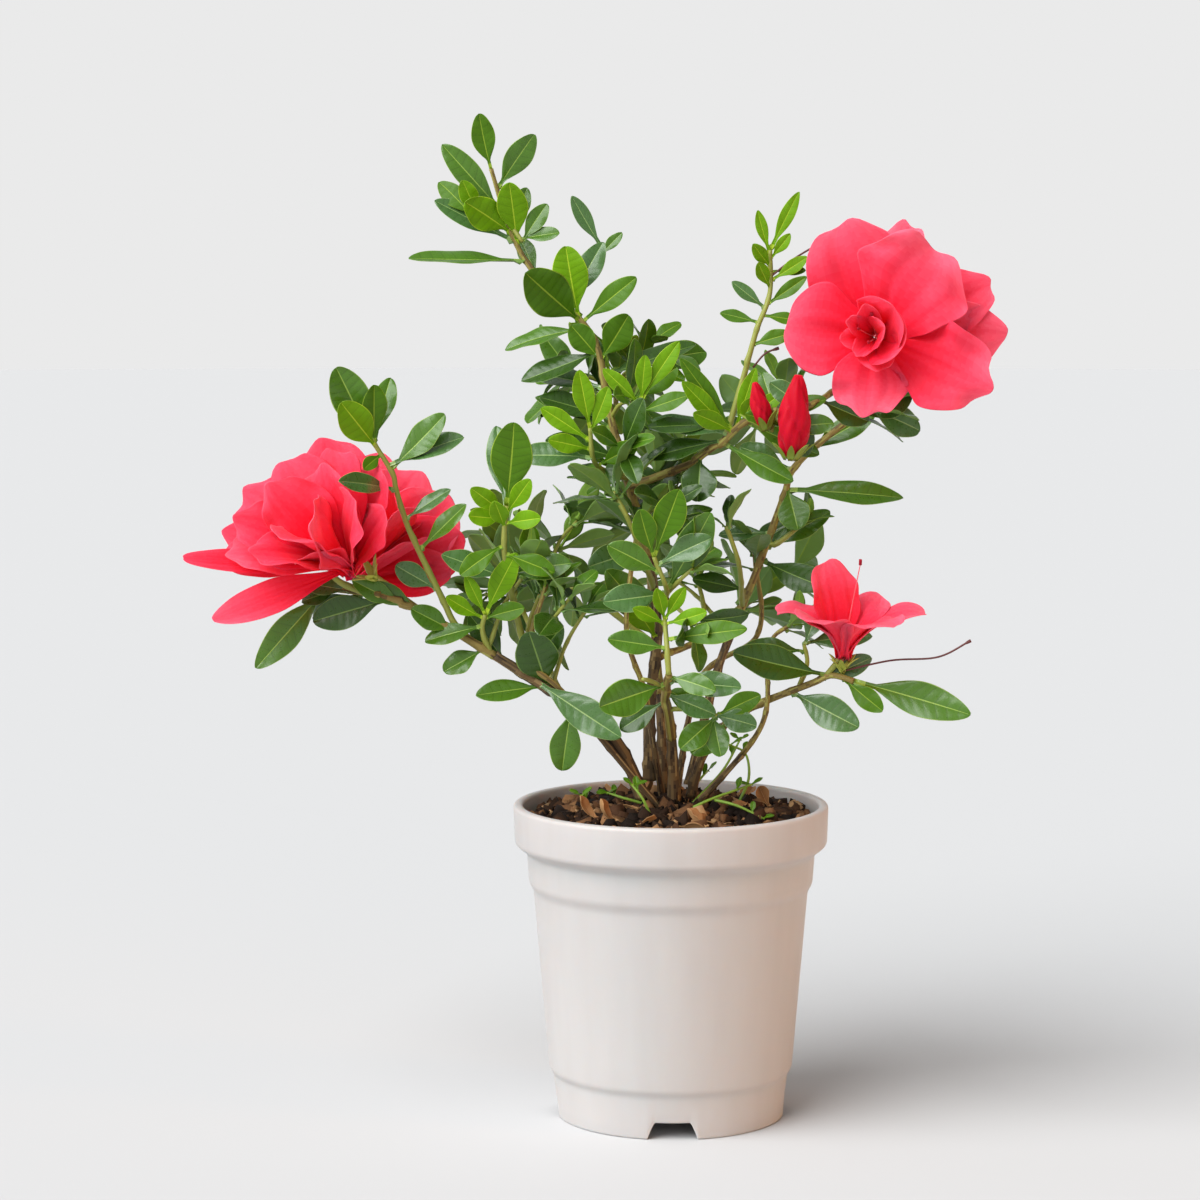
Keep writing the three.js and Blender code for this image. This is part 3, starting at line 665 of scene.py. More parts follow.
# Leaves that set the crown's outline, branch by branch: share along the branch, clock angle as the
# viewer sees it (0 is up, 90 is right), degrees towards the viewer, degrees that the face is turned
# from the viewer to the sky, length, width and tint.
LEADING_LEAVES = {
    "main_stem": [
        (1.0, -15, 5, 0, 21, 10, "fresh"), (0.965, 33, 10, -10, 25, 11, "full"),
        (0.93, -42, 10, 15, 35, 11, "full"), (0.885, -64, 10, 30, 34, 11, "full"),
        (0.895, -52, 30, 10, 24, 14, "young"), (0.88, -5, 25, 0, 26, 13, "young"),
        (0.9, 25, -20, 10, 18, 8, "full"), (0.82, -25, -30, 0, 21, 8, "full"),
        (0.85, -90, 5, 62, 44, 13, "full"), (0.72, -50, 30, 5, 33, 19, "fresh"),
        (0.73, -12, 15, 0, 28, 15, "young"), (0.755, 28, -15, 0, 29, 11, "full"),
        (0.72, 50, 10, 15, 27, 10, "fresh"), (0.66, 35, 10, 0, 20, 13, "fresh"),
        (0.71, -95, 0, 55, 32, 11, "full"), (0.66, -40, 10, 0, 17, 11, "fresh"),
        (0.67, -112, 5, 45, 31, 13, "old"), (0.63, 70, -10, 55, 38, 13, "old"),
        (0.61, -75, -20, 45, 30, 13, "old"), (0.57, -72, 0, 40, 28, 12, "old"),
        (0.55, -60, -10, 50, 33, 13, "full"), (0.5, -72, 10, 40, 30, 13, "old"),
        (0.49, 110, 20, 10, 15, 8, "old"), (0.36, -105, 20, 15, 24, 13, "full"),
        (0.23, -35, 35, 5, 36, 15, "full"), (0.22, -30, 50, 0, 34, 11, "young"),
        (0.39, 65, 10, 30, 28, 9, "full"), (0.42, 40, 0, 20, 26, 12, "old"),
        (0.33, 70, 10, 20, 24, 12, "old"),
    ],
    "heart_left_twig": [
        (1.0, -10, 15, 0, 22, 9, "young"), (0.9, -55, 5, 10, 22, 8, "young"),
        (0.8, -75, 20, 10, 17, 8, "young"), (0.95, 25, 10, 0, 18, 8, "young"),
        (0.7, -85, 0, 40, 28, 12, "full"), (0.6, 60, 20, 10, 18, 9, "fresh"),
    ],
    "heart_right_twig": [
        (1.0, 30, 5, 0, 26, 8, "young"), (1.0, 5, 15, 0, 17, 7, "young"),
        (0.95, -45, 10, 0, 19, 7, "young"), (0.85, 70, 10, 20, 20, 8, "fresh"),
        (0.7, 85, 0, 45, 27, 11, "old"),
    ],
    "fore_twig": [
        (1.0, 8, 15, 0, 32, 17, "fresh"), (0.97, -8, -20, 0, 34, 11, "full"),
        (0.95, -50, 25, 5, 17, 8, "young"), (0.93, -85, 30, 20, 15, 8, "young"),
        (0.92, 80, 25, 20, 15, 8, "young"), (0.96, 35, 20, 0, 17, 8, "young"),
        (0.8, -120, 20, 30, 20, 9, "fresh"), (0.75, 110, 20, 25, 20, 9, "fresh"),
        (0.88, -15, 45, 0, 14, 8, "young"), (0.6, -70, 0, 40, 26, 12, "full"),
        (0.62, 75, 10, 30, 24, 12, "full"),
    ],
    "low_left_twig": [
        (1.0, 25, 20, 0, 28, 10, "young"), (1.0, -25, 20, 0, 17, 6, "young"),
        (0.9, -62, 15, 10, 17, 7, "young"), (0.9, 70, 15, 15, 16, 8, "fresh"),
        (0.7, -100, 10, 35, 22, 10, "full"),
    ],
    "left_stem": [
        (0.5, -15, 35, 0, 27, 18, "old"), (0.56, 122, 20, 15, 40, 14, "old"),
        (0.52, -95, 10, 35, 26, 11, "full"), (0.4, -170, 10, 5, 26, 13, "full"),
        (0.74, -120, 10, 30, 17, 10, "full"), (0.98, -60, 0, 15, 22, 9, "full"),
        (0.85, -60, 20, 20, 19, 10, "full"), (0.6, 40, 10, 20, 24, 11, "old"),
        (0.66, -35, -10, 20, 22, 11, "old"),
    ],
    "left_riser": [
        (0.28, -60, 5, 15, 18, 10, "full"), (0.48, 45, 5, 30, 25, 9, "full"),
        (0.62, 55, 0, 40, 20, 8, "full"), (0.75, -70, 52, 40, 32, 9, "cool"),
        (0.85, 48, 5, 25, 29, 12, "full"), (0.87, 66, 5, 35, 30, 11, "full"),
        (1.0, -25, 10, 0, 30, 16, "full"), (0.96, -35, 35, 0, 24, 14, "young"),
        (0.98, 0, 10, 25, 22, 11, "fresh"), (0.99, 10, -20, 0, 27, 10, "full"),
        (0.92, -125, 50, 20, 12, 6, "fresh"),
    ],
    "far_left_bough": [
        (0.25, -105, 10, 10, 30, 14, "old"), (0.95, -138, 10, 10, 40, 13, "full"),
        (0.85, -105, 0, 20, 15, 8, "old"), (0.1, -65, 10, 20, 22, 9, "full"),
        (0.7, -80, 0, 30, 20, 9, "old"), (0.6, -115, -20, 20, 26, 11, "old"),
    ],
    "rosette_twig": [
        (1.0, -10, 25, 0, 14, 6, "young"), (1.0, 30, 20, 0, 15, 6, "young"),
        (0.95, -60, 20, 10, 14, 6, "young"), (0.9, 75, 20, 20, 17, 7, "young"),
        (0.6, 80, 15, 25, 30, 10, "fresh"), (0.5, -80, 10, 20, 22, 10, "full"),
    ],
    "front_stem": [
        (0.86, -105, 25, 10, 29, 15, "full"), (0.7, 110, 15, 15, 20, 10, "full"),
        (0.92, 95, 15, 25, 27, 11, "full"), (0.62, -120, 5, 15, 20, 10, "old"),
        (0.98, 100, 30, 20, 19, 9, "full"),
    ],
    "low_front_twig": [
        (1.0, -130, 20, 10, 19, 11, "full"), (0.95, 100, 20, 15, 17, 10, "old"),
        (0.9, 170, 20, 0, 16, 10, "full"), (1.0, 60, 10, 20, 18, 9, "fresh"),
        (0.8, -60, 20, 10, 17, 9, "full"),
    ],
    "fore_core_twig": [
        (1.0, 20, 15, 0, 28, 13, "fresh"), (0.95, 60, 10, 15, 22, 11, "full"),
        (0.9, -60, 15, 15, 22, 11, "full"), (0.75, 30, 10, 0, 33, 14, "full"),
        (0.7, -95, 20, 20, 24, 12, "old"), (1.0, -20, 20, 0, 20, 10, "fresh"),
    ],
    "upper_right_bough": [
        (0.3, -175, 25, 0, 18, 15, "old"), (0.4, 120, 10, 15, 30, 10, "full"),
        (0.52, 115, 10, 15, 30, 11, "full"), (0.45, -35, 5, 10, 34, 8, "fresh"),
        (0.46, -48, 15, 10, 28, 8, "young"), (0.47, 15, 10, 0, 24, 7, "young"),
        (0.48, 50, 5, 10, 21, 7, "young"), (0.45, -60, 30, 10, 19, 8, "young"),
        (0.6, 80, 15, 30, 23, 9, "fresh"), (0.5, 20, 35, 0, 13, 7, "young"),
        (0.44, -78, 0, 40, 30, 11, "old"), (0.42, -100, 0, 40, 30, 11, "old"),
        (0.75, -60, -10, 10, 16, 9, "old"), (0.8, 115, -10, 15, 20, 11, "old"),
        (0.7, 160, 0, 10, 18, 10, "old"),
    ],
    "right_riser": [
        (1.0, 25, 5, 0, 24, 6, "young"), (0.98, -20, 5, 0, 17, 5, "young"),
        (0.95, 40, 20, 0, 12, 5, "young"), (0.92, -40, 25, 0, 12, 6, "young"),
        (0.85, 60, 10, 10, 16, 6, "young"), (0.82, -30, 30, 0, 12, 6, "young"),
        (0.72, 55, 10, 15, 18, 6, "fresh"), (0.7, -52, 5, 10, 16, 6, "full"),
        (0.62, -75, 0, 30, 15, 6, "full"), (0.66, 95, 10, 30, 14, 6, "fresh"),
        (0.5, 70, 10, 20, 15, 7, "fresh"), (0.9, 85, 0, 20, 13, 5, "fresh"),
    ],
    "right_stem": [
        (0.6, -90, 0, 45, 20, 8, "old"), (0.56, 60, 0, 30, 29, 11, "full"),
        (0.53, 114, 36, 15, 33, 13, "old"), (0.7, 91, 10, 40, 45, 12, "full"),
        (0.71, 165, 20, 0, 18, 14, "full"), (0.8, 55, 0, 25, 30, 11, "full"),
        (0.97, 108, 0, 15, 22, 13, "old"), (0.93, 70, -5, 10, 24, 13, "old"),
        (0.88, -70, 0, 30, 22, 10, "old"), (0.99, 40, -20, 10, 22, 12, "old"),
        (0.46, -75, 0, 30, 22, 10, "old"), (0.75, -60, 0, 30, 22, 10, "full"),
    ],
    "low_right_bough": [
        (1.0, 104, 10, 15, 45, 15, "full"), (0.72, 118, 20, 5, 29, 14, "full"),
        (0.9, -78, 10, 25, 38, 15, "old"), (0.4, -130, 20, 10, 19, 11, "full"),
        (0.86, 70, 0, 20, 20, 9, "old"), (0.95, 130, 25, 5, 20, 9, "fresh"),
    ],
    "right_low_twig": [
        (1.0, 80, 0, 40, 26, 12, "old"), (0.8, -85, 5, 40, 24, 11, "old"),
        (0.9, 20, 0, 15, 18, 9, "full"),
    ],
    "bud_stalk": [(0.5, 80, 10, 20, 18, 9, "full"), (0.4, -70, 20, 10, 15, 7, "fresh")],
    "crown_fork": [(1.0, -32, 0, 10, 23, 7, "cool"), (0.9, 40, 0, 10, 12, 5, "full")],
    "crown_left_twig": [(1.0, -40, -10, 10, 20, 9, "fresh"), (0.9, -20, 20, 0, 15, 8, "young")],
    "crown_right_twig": [(1.0, 30, 0, 5, 17, 8, "full"), (0.8, 80, 10, 30, 15, 7, "full")],
}

# Seeded sprays: twigs that end in a whorl of leaves, whorl size, length of the leaves and their tints.
WHORLS = {
    "inner_twig": (7, 27, ("full", "old")),
    "right_inner_twig": (3, 21, ("full", "old")),
    "right_mid_twig": (3, 17, ("full", "fresh")),
    "right_back_twig": (5, 24, ("full", "fresh")),
    "right_stem": (6, 24, ("old", "full")),
    "back_left_twig": (8, 30, ("full", "fresh")),
    "back_left_low_twig": (8, 30, ("old", "full")),
    "back_middle_twig": (8, 28, ("fresh", "young")),
    "back_stem": (7, 30, ("old", "full")),
    "back_low_bough": (6, 27, ("full", "fresh")),
    "back_low_twig": (6, 25, ("fresh", "full")),
    "back_high_bough": (9, 29, ("fresh", "young")),
    "left_sucker": (6, 22, ("full", "fresh")),
    "middle_sucker": (6, 24, ("old", "full")),
    "right_sucker": (5, 20, ("full", "fresh")),
    "back_sucker": (6, 24, ("old", "full")),
}

# The masses that seeded sprays thicken: sprays in each, and the branch that they spring from.
THICKENED = {
    "back_low": (3, "back_low_bough"), "back_left": (7, "back_left_twig"),
    "back_middle": (4, "back_middle_twig"), "back_high": (6, "back_high_bough"),
    "right_back": (2, "right_back_twig"), "inner_core": (3, "main_stem"), "inner_left": (4, "left_stem"),
    "heart": (3, "main_stem"), "centre_fore": (2, "fore_core_twig"),
}


def aimed(clock, towards):
    """A direction from its clock angle and its lean towards the viewer."""
    c, t = math.radians(clock), math.radians(towards)
    return np.array([math.sin(c) * math.cos(t), -math.sin(t), math.cos(c) * math.cos(t)])


def faced(heading, clock, sky):
    """The way a leaf's face looks: at the viewer, turned towards the sky by this angle."""
    flat = unit(VIEWER - heading * np.dot(VIEWER, heading))
    return turned(flat, heading, -sky if math.sin(math.radians(clock)) > 0 else sky)


def whorl(joined, branch, count, length, tints, dice, gap=0.012):
    """A spray at a branch's tip: leaves a golden turn apart, wider open and longer down the twig."""
    phase = dice.uniform(0, 360)
    for i in range(count):
        share = max(1 - i * gap, 0.1)
        row = branch.row(share)
        out = spoke(branch.sides[row], branch.others[row], phase + i * GOLDEN_TURN)
        axis = branch.tangents[row]
        opening = 28 + 6.5 * i + dice.uniform(-8, 8)
        heading = unit(spoke(axis, out, opening) + UP * 0.12)
        size = length * (0.62 + 0.38 * min(1, i / 3)) * dice.uniform(0.85, 1.12)
        tint = tints[-1] if i < count * 0.35 else tints[0]
        base = branch.route[row] + out * branch.radius[row] * 0.5
        leaf(joined, base, heading, axis + UP * 0.5, size, size * dice.uniform(0.4, 0.5), tint, dice)


def make_leaves():
    """Every leaf, dealt into joined pieces by the side of the plant that it is on."""
    dice = np.random.default_rng(11)
    parts = {side: Joined() for side in ("left", "middle", "right", "back_low", "back_high")}

    def part_for(place):
        if place[1] > 26:
            return parts["back_low" if place[2] < 225 else "back_high"]
        return parts["left"] if place[0] < -38 else parts["right"] if place[0] > 12 else parts["middle"]

    for name, rows in LEADING_LEAVES.items():
        branch = branches[name]
        for share, clock, towards, sky, length, width, tint in rows:
            heading = aimed(clock, towards)
            base = branch.at(share)
            tint = "cool" if tint in ("full", "old") and dice.uniform() < 0.3 else tint
            face = faced(heading, clock, sky)
            leaf(part_for(base), base, heading, face, length, width, tint, dice,
                 arch=dice.uniform(-0.1, 0.35))
    for name, (count, length, tints) in WHORLS.items():
        branch = branches[name]
        whorl(part_for(branch.at(1)), branch, count, length, tints, dice)
    sprigs = Joined()
    for node, (count, parent) in THICKENED.items():
        stem = branches[parent]
        for i in range(count):
            across, deep, up = dice.uniform(0.12, 0.88, 3)
            target = within(node, across, deep, up)
            row = np.linalg.norm(stem.route - target, axis=1).argmin()
            row = max(2, row - int(dice.integers(2, 7)))
            start = stem.route[row]
            middle = (start + target) / 2 + stem.tangents[row] * 2
            twig = Branch([start, middle, target], 0.9, 0.6)
            tube(sprigs, twig.route, twig.radius, 8, 0, bark_relief(i, 0.07, 0))
            tints = ("full", "fresh") if up > 0.5 else ("old", "full")
            leaves, length = int(dice.integers(4, 7)), dice.uniform(20, 30)
            whorl(part_for(target), twig, leaves, length, tints, dice, gap=0.05)
    sprigs.make("green_sprigs", [bpy.data.materials["green_shoot_skin"]], "green_shoot")
    finishes = []
    # each age's side-vein tint is painted groove shade, a little darker than its blade
    for name, (blade, vein_shade, rib, under) in TINTS.items():
        rough, wax, gloss_level = CUTICLES[name]
        finishes += [leaf_blade(name + "_leaf_blade", blade, rough, wax, gloss_level),
                     leaf_blade(name + "_leaf_vein_shade", vein_shade, rough, wax, gloss_level),
                     leaf_blade(name + "_leaf_midrib", rib, rough, wax, gloss_level),
                     leaf_blade(name + "_leaf_underside", under, rough + 0.15, 0.0, gloss_level)]
    stood_for = {
        "left": ("left_fore", "left_top", "left_under", "inner_left", "left_low", "hanging_leaf",
                 "crown_tip", "crown_side", "upper_left_spray"),
        "middle": ("upper_whorl", "upper_right_spray", "heart", "inner_core", "centre_fore",
                   "front_rosette", "low_front"),
        "right": ("right_shoot", "right_rosette", "right_upper", "right_inner", "right_mid", "right_low",
                  "low_right"),
        "back_low": ("back_low", "back_left", "right_back"),
        "back_high": ("back_middle", "back_high"),
    }
    for side, nodes in stood_for.items():
        parts[side].make("leaves_" + side, finishes, "foliage", *nodes)
    return finishes


# ---- blooms -----------------------------------------------------------------------------------

THROAT_RED, MARGIN_RED = "#e6001f", "#f96278"
STEPS = 14  # tints from the throat to the margin
ANTHER, FILAMENT, BRACT = STEPS, STEPS + 1, STEPS + 2


def between(first, last, share):
    """The hex colour at this share of the way from the first colour to the last."""
    pairs = [(int(first[i:i + 2], 16), int(last[i:i + 2], 16)) for i in (1, 3, 5)]
    return "#" + "".join(f"{round(a + (b - a) * share):02x}" for a, b in pairs)


def petal(joined, base, heading, face, length, width, dice, flare, ruffle, cup, shade, claw):
    """Adds one petal: a narrow claw that opens into a broad blade with a ruffled margin."""
    rows, columns = 28, 25
    t = (1 - (1 - np.linspace(0, 1, rows)) ** 1.45)[:, None]
    s = np.concatenate([[-1], np.linspace(-0.965, 0.965, columns - 2), [1]])[None, :]
    opening = np.clip((t - 0.08) / 0.5, 0, 1)
    widening = claw + (1 - claw) * opening * opening * (3 - 2 * opening)
    end = np.sqrt(np.clip(1 - (np.clip(t - 0.55, 0, 1) / 0.452) ** 2.6, 0.02, 1))
    x = s * widening * end * width / 2
    phase = dice.uniform(0, 2 * math.pi, 4)
    x = x * (1 + 0.03 * ruffle * np.sin(t * dice.uniform(9, 14) + phase[1] + 2 * np.sign(s)))
    q = x / (width / 2)
    y = t * length * (1 - 0.07 * q ** 2 * t ** 2)
    y = y + 0.02 * ruffle * length * np.sin(q * dice.uniform(5, 9) + phase[2]) * t ** 3
    margin = np.abs(q) ** 1.8 * t ** 0.8 + 0.3 * t ** 3
    wave = (np.sin(t * dice.uniform(9, 13) + phase[0] + 1.2 * q)
            + 0.3 * np.sin(t * dice.uniform(17, 24) + phase[1] - 2 * q)) * np.tanh(q * 6)
    wave = wave + 0.8 * np.sin(q * dice.uniform(5, 8) + phase[2]) * t ** 2
    z = ruffle * 0.06 * width * margin * wave
    z = z + cup * (np.abs(x) ** 1.6) / (width / 2) ** 0.6 * (1 - 0.5 * t)
    z = z - 0.035 * width * np.exp(-(s / 0.1) ** 2) * (1 - t)
    crease = np.exp(-((s - dice.uniform(-0.5, 0.5)) / 0.17) ** 2)
    crease = crease + 0.7 * np.exp(-((s - dice.uniform(-0.8, 0.8)) / 0.12) ** 2)
    z = z - 0.045 * width * crease * np.sin(math.pi * t ** 0.8)
    z = z + 0.01 * width * np.sin(s * 26 + phase[3]) * t * (1 - t) * 2
    turn = math.radians(flare)
    bend = turn if abs(turn) > 1e-3 else 1e-3
    v = y / length - 0.35
    yy = length * np.sin(bend * v) / bend + length * math.sin(bend * 0.35) / bend + z * np.sin(turn * v)
    zz = length * np.cos(bend * v) / bend - length * math.cos(bend * 0.35) / bend + z * np.cos(turn * v)
    grid = placed(base, heading, face, x, yy, zz)
    middle_t = (t[:-1] + t[1:]) / 2
    middle_s = (s[:, :-1] + s[:, 1:]) / 2
    level = 0.82 * middle_t ** 1.15 + 0.14 * np.abs(middle_s) + shade
    level = level + 0.03 * np.sin(middle_s * 19 + phase[3])
    top = np.clip(np.round(level * STEPS), 0, STEPS - 1).astype(int)
    under = np.clip(np.round((level * 0.6 + 0.3) * STEPS), 0, STEPS - 1).astype(int)
    thin_solid(joined, grid, np.full((rows, columns), 0.3), top, np.broadcast_to(under, top.shape))


def bloom(name, node, finishes, centre, axis, up, petals, seed, calyx, strays=(), loose=(), stamens=0,
          stamen_length=20, claw=0.3):
    """One bloom: petals set round its axis, stamens from its throat and a few bracts behind it.

    Each petal is its clock angle round the axis, its opening from the axis, length, width, how far
    up the axis it starts, its flare, its ruffle and its cup. Strays are petals of a bloom seen from its
    side, given as the viewer sees them: clock angle, degrees towards the viewer, length, width, flare
    and ruffle. Loose petals are given the same way, and hang with their faces to the viewer.
    """
    dice = np.random.default_rng(seed)
    joined = Joined()
    axis = unit(axis)
    up = unit(np.asarray(up, float) - axis * np.dot(up, axis))
    right = np.cross(up, axis)
    centre = np.asarray(centre, float)
    for clock, opening, length, width, lift, flare, ruffle, cup in petals:
        out = spoke(up, right, clock)
        heading = spoke(axis, out, opening)
        face = spoke(-out, axis, opening)
        shade = -0.25 if length < 26 else dice.uniform(-0.14, 0.05)
        petal(joined, centre + axis * lift + out * 0.8, heading, face, length, width, dice, flare, ruffle,
              cup, shade, claw)
    facing = [(row, axis + VIEWER * 0.35) for row in strays] + [(row, VIEWER + UP * 0.25) for row in loose]
    for (clock, towards, length, width, flare, ruffle), face in facing:
        petal(joined, centre, aimed(clock, towards), face, length, width, dice, flare, ruffle, 0.1,
              dice.uniform(-0.36, -0.08), claw * min(1, width / 22))
    for i in range(stamens):
        out = spoke(up, right, i * 360 / stamens + dice.uniform(-20, 20))
        reach = stamen_length * dice.uniform(0.75, 1.1)
        places = [centre + axis * 2, centre + axis * reach * 0.5 + out * reach * 0.1,
                  centre + axis * reach + out * reach * 0.28 + UP * reach * 0.08]
        route = smooth_route(places, 1.4)
        tube(joined, route, np.linspace(0.3, 0.18, len(route)), 6, FILAMENT)
        tip = route[-1]
        anther = smooth_route([tip - axis * 0.2, tip + axis * 0.8, tip + axis * 1.9], 0.6)
        tube(joined, anther, 0.6, 7, ANTHER)
    for i in range(6):
        out = spoke(up, right, i * 60 + dice.uniform(-12, 12))
        bract(joined, calyx - axis * 3, axis + out * 0.55, out - axis * 0.2, dice.uniform(7, 11), BRACT)
    joined.make(name, finishes, "blossom", node)


def bract(joined, base, heading, face, length, tint):
    """A small pointed bract."""
    rows, columns = 8, 7
    t = np.linspace(0, 1, rows)[:, None]
    s = np.linspace(-1, 1, columns)[None, :]
    half = length * 0.16 * np.maximum(np.sin(math.pi * (0.1 + 0.9 * t) ** 0.8) ** 0.8, 0.06)
    z = -0.25 * half * (1 - s ** 2) + length * 0.25 * t ** 2
    grid = placed(base, heading, face, s * half, t * length + 0 * s, z)
    tint = np.full((rows - 1, columns - 1), tint)
    thin_solid(joined, grid, np.full((rows, columns), 0.25), tint, tint)


def make_blooms():
    """The four open blooms, from their places in the frame."""
    finishes = [petal_skin(f"petal_{i}", between(THROAT_RED, MARGIN_RED, i / (STEPS - 1)))
                for i in range(STEPS)]
    finishes += [petal_skin("anther", "#8f1426"), petal_skin("filament", "#ef6a78"),
                 leaf_blade("bract", "#a9b04a", 0.5)]
    throat = within("right_bloom", 0.385, 0.3, 0.41)
    bloom("right_bloom_petals", "right_bloom", finishes, throat, (-0.2, -0.97, 0.1), UP, [
        # clock, opening, length, width, lift, flare, ruffle, cup
        (276, 78, 33, 34, 3, 35, 0.6, 0.1), (342, 80, 43, 37, 0, 25, 0.9, 0.12),
        (36, 72, 40, 43, 3, 25, 2.4, 0.2), (114, 78, 46, 32, 3, 30, 1.8, 0.1),
        (186, 78, 29, 28, 3, 45, 1.8, 0.15), (64, 86, 45, 25, -6, 30, 1.0, 0.15),
        (88, 86, 46, 26, -5, 35, 1.0, 0.12), (14, 84, 43, 22, -4, 30, 1.4, 0.2),
        (48, 30, 22, 24, 6, 10, 0.9, 0.55), (110, 34, 21, 22, 6, 15, 0.9, 0.55),
        (165, 46, 17, 15, 5, 30, 1.2, 0.5), (300, 26, 18, 8, 6, 20, 1.2, 0.6),
        (350, 24, 20, 9, 6, 20, 1.2, 0.6), (215, 30, 16, 8, 5, 30, 1.2, 0.6),
        (255, 36, 17, 9, 5, 20, 1.2, 0.6), (80, 14, 18, 12, 8, 15, 1.2, 0.8),
    ], 3, throat + np.array([6, 16, -4]), stamens=4, stamen_length=17, claw=0.42)
    heart = within("left_bloom", 0.9, 0.55, 0.26)
    bloom("left_bloom_petals", "left_bloom", finishes, heart, (-0.6, -0.4, 0.7), UP, [
        (150, 30, 26, 20, 0, 25, 0.7, 0.1),
    ], 8, within("left_bloom", 1.0, 0.6, 0.2), strays=[
        # clock, towards, length, width, flare, ruffle
        (277, -5, 51, 20, 35, 1.0), (288, -14, 53, 26, 35, 1.0), (303, -18, 54, 30, 35, 1.2),
        (325, -18, 51, 30, 35, 1.2), (347, -14, 46, 30, 35, 1.2), (8, -10, 40, 28, 35, 1.2),
        (281, 12, 46, 20, 30, 1.2), (296, 16, 47, 26, 30, 1.2), (318, 16, 44, 26, 30, 1.2),
        (343, 12, 40, 26, 30, 1.2), (286, 34, 42, 22, 25, 1.2), (305, 42, 40, 24, 25, 1.3),
        (330, 44, 38, 26, 25, 1.3), (0, 36, 34, 30, 25, 1.2), (28, 22, 27, 26, 25, 1.0),
    ], loose=[
        (250, 8, 54, 13, 12, 0.4), (274, 6, 62, 9, 8, 0.4),
    ], claw=0.34)
    heart = within("left_back_bloom", 0.38, 0.5, 0.08)
    bloom("left_back_bloom_petals", "left_back_bloom", finishes, heart, (0.12, 0.35, 0.9), (0, -1, 0), [
        (165, 36, 48, 32, 0, 35, 0.8, 0.15), (200, 30, 46, 32, 0, 35, 0.8, 0.15),
        (238, 34, 46, 32, 0, 35, 0.8, 0.15), (130, 30, 46, 30, 0, 30, 0.8, 0.15),
    ], 5, heart, strays=[
        (14, 8, 38, 22, 12, 0.8), (38, 14, 38, 24, 12, 0.8), (58, 18, 34, 22, 12, 0.8),
    ], loose=[
        (-15, -18, 58, 32, 18, 0.8), (7, -20, 51, 30, 18, 0.8), (28, -15, 48, 32, 18, 0.8),
        (50, -8, 47, 32, 18, 0.8), (68, -2, 43, 28, 18, 0.8), (83, 5, 36, 20, 20, 0.8),
    ])
    foot = within("low_bloom", 0.46, 0.5, -0.42)
    bloom("low_bloom_petals", "low_bloom", finishes, foot, (0.03, -0.2, 1.0), (0, -1, 0), [
        (95, 42, 34, 23, 3, 95, 1.0, 0.2), (42, 38, 34, 22, 3, 80, 1.0, 0.2),
        (318, 40, 35, 22, 3, 85, 1.0, 0.2), (268, 46, 38, 20, 3, 85, 1.0, 0.2),
        (215, 42, 32, 20, 3, 65, 1.2, 0.2), (148, 18, 37, 22, 3, 20, 1.2, 0.2),
    ], 14, foot, stamens=1, stamen_length=49)


def make_buds():
    """The closed buds: petals wrapped round each other in a slow spiral, in a cup of bracts."""
    joined = Joined()
    dice = np.random.default_rng(4)
    buds = [
        (within("right_bud", 0.45, 0.5, 0.1), (0.08, -0.1, 1.0), 30, 5.6),
        (within("right_bud", 0.05, 0.7, 0.4), (-0.25, -0.1, 1.0), 17, 3.4),
    ]
    for foot, axis, length, fat in buds:
        axis = unit(axis)
        route = smooth_route([foot, foot + axis * length * 0.5, foot + axis * length], length / 26)

        def wrapped(route, angle, radius):
            run = np.linspace(0, 1, len(route))[:, None]
            seam = np.abs(np.sin(1.5 * (angle[None, :] + run * 3.6))) ** 0.5
            pleat = np.cos(9 * angle[None, :] - run * 6 + np.sin(run * 9))
            return radius[:, None] * (0.42 * (seam - 0.75) + 0.045 * pleat)

        share = np.linspace(0, 1, len(route))
        radius = fat * np.sin(math.pi * (0.09 + 0.87 * share ** 0.8)) ** 0.7
        tube(joined, route, radius, 48, 0, wrapped)
        side = unit(np.cross(axis, VIEWER))
        other = np.cross(axis, side)
        for i in range(7):
            out = spoke(side, other, i * 360 / 7 + dice.uniform(-10, 10))
            base = foot - axis * 1.5 + out * fat * 0.45
            bract(joined, base, axis + out * 0.55, out - axis * 0.3, dice.uniform(7, 11), 1)
    pistils = [
        [("low_bloom", 0.46, 0.5, -0.5), ("low_bloom", 0.75, 0.4, -0.32),
         ("low_bloom", 1.03, 0.3, -0.25), ("low_bloom", 1.23, 0.3, 0.0)],
        [("right_shoot", 0.5, 0.5, 0.42), ("right_shoot", 0.72, 0.5, 0.54),
         ("right_shoot", 1.0, 0.5, 0.66)],
        [("right_riser", 0.6, 0.5, 0.1), ("right_riser", 1.3, 0.5, 0.4), ("right_riser", 2.1, 0.5, 0.52)],
    ]
    for spots in pistils:
        route = smooth_route([within(*spot) for spot in spots], 1.2)
        radius = np.full(len(route), 0.36)
        radius[-2:] = 0.62
        tube(joined, route, radius, 8, 2)
    finishes = [petal_skin("bud_petal", "#b8001f"), leaf_blade("bud_bract", "#7d9232", 0.5),
                stem_skin("spent_pistil_skin", "#5e2f2c", 0.6, 0.8)]
    joined.make("flower_buds", finishes, "blossom", "right_bud")


# ---- potting mix ------------------------------------------------------------------------------

MIX_TINTS = ["#1c120c", "#2e1e13", "#4a3120", "#6b4a30", "#8d6745", "#b08a62"]


def mix_height(x, y):
    """Height of the mix's surface: a low mound that meets the pot's wall lower down."""
    low, high = corners_of("potting_mix")
    edge = high[2] - 7.5
    radius = np.hypot(x, y) / (high[0] - low[0]) * 2
    return edge + 6.3 * np.clip(1 - radius ** 1.7, 0, 1)


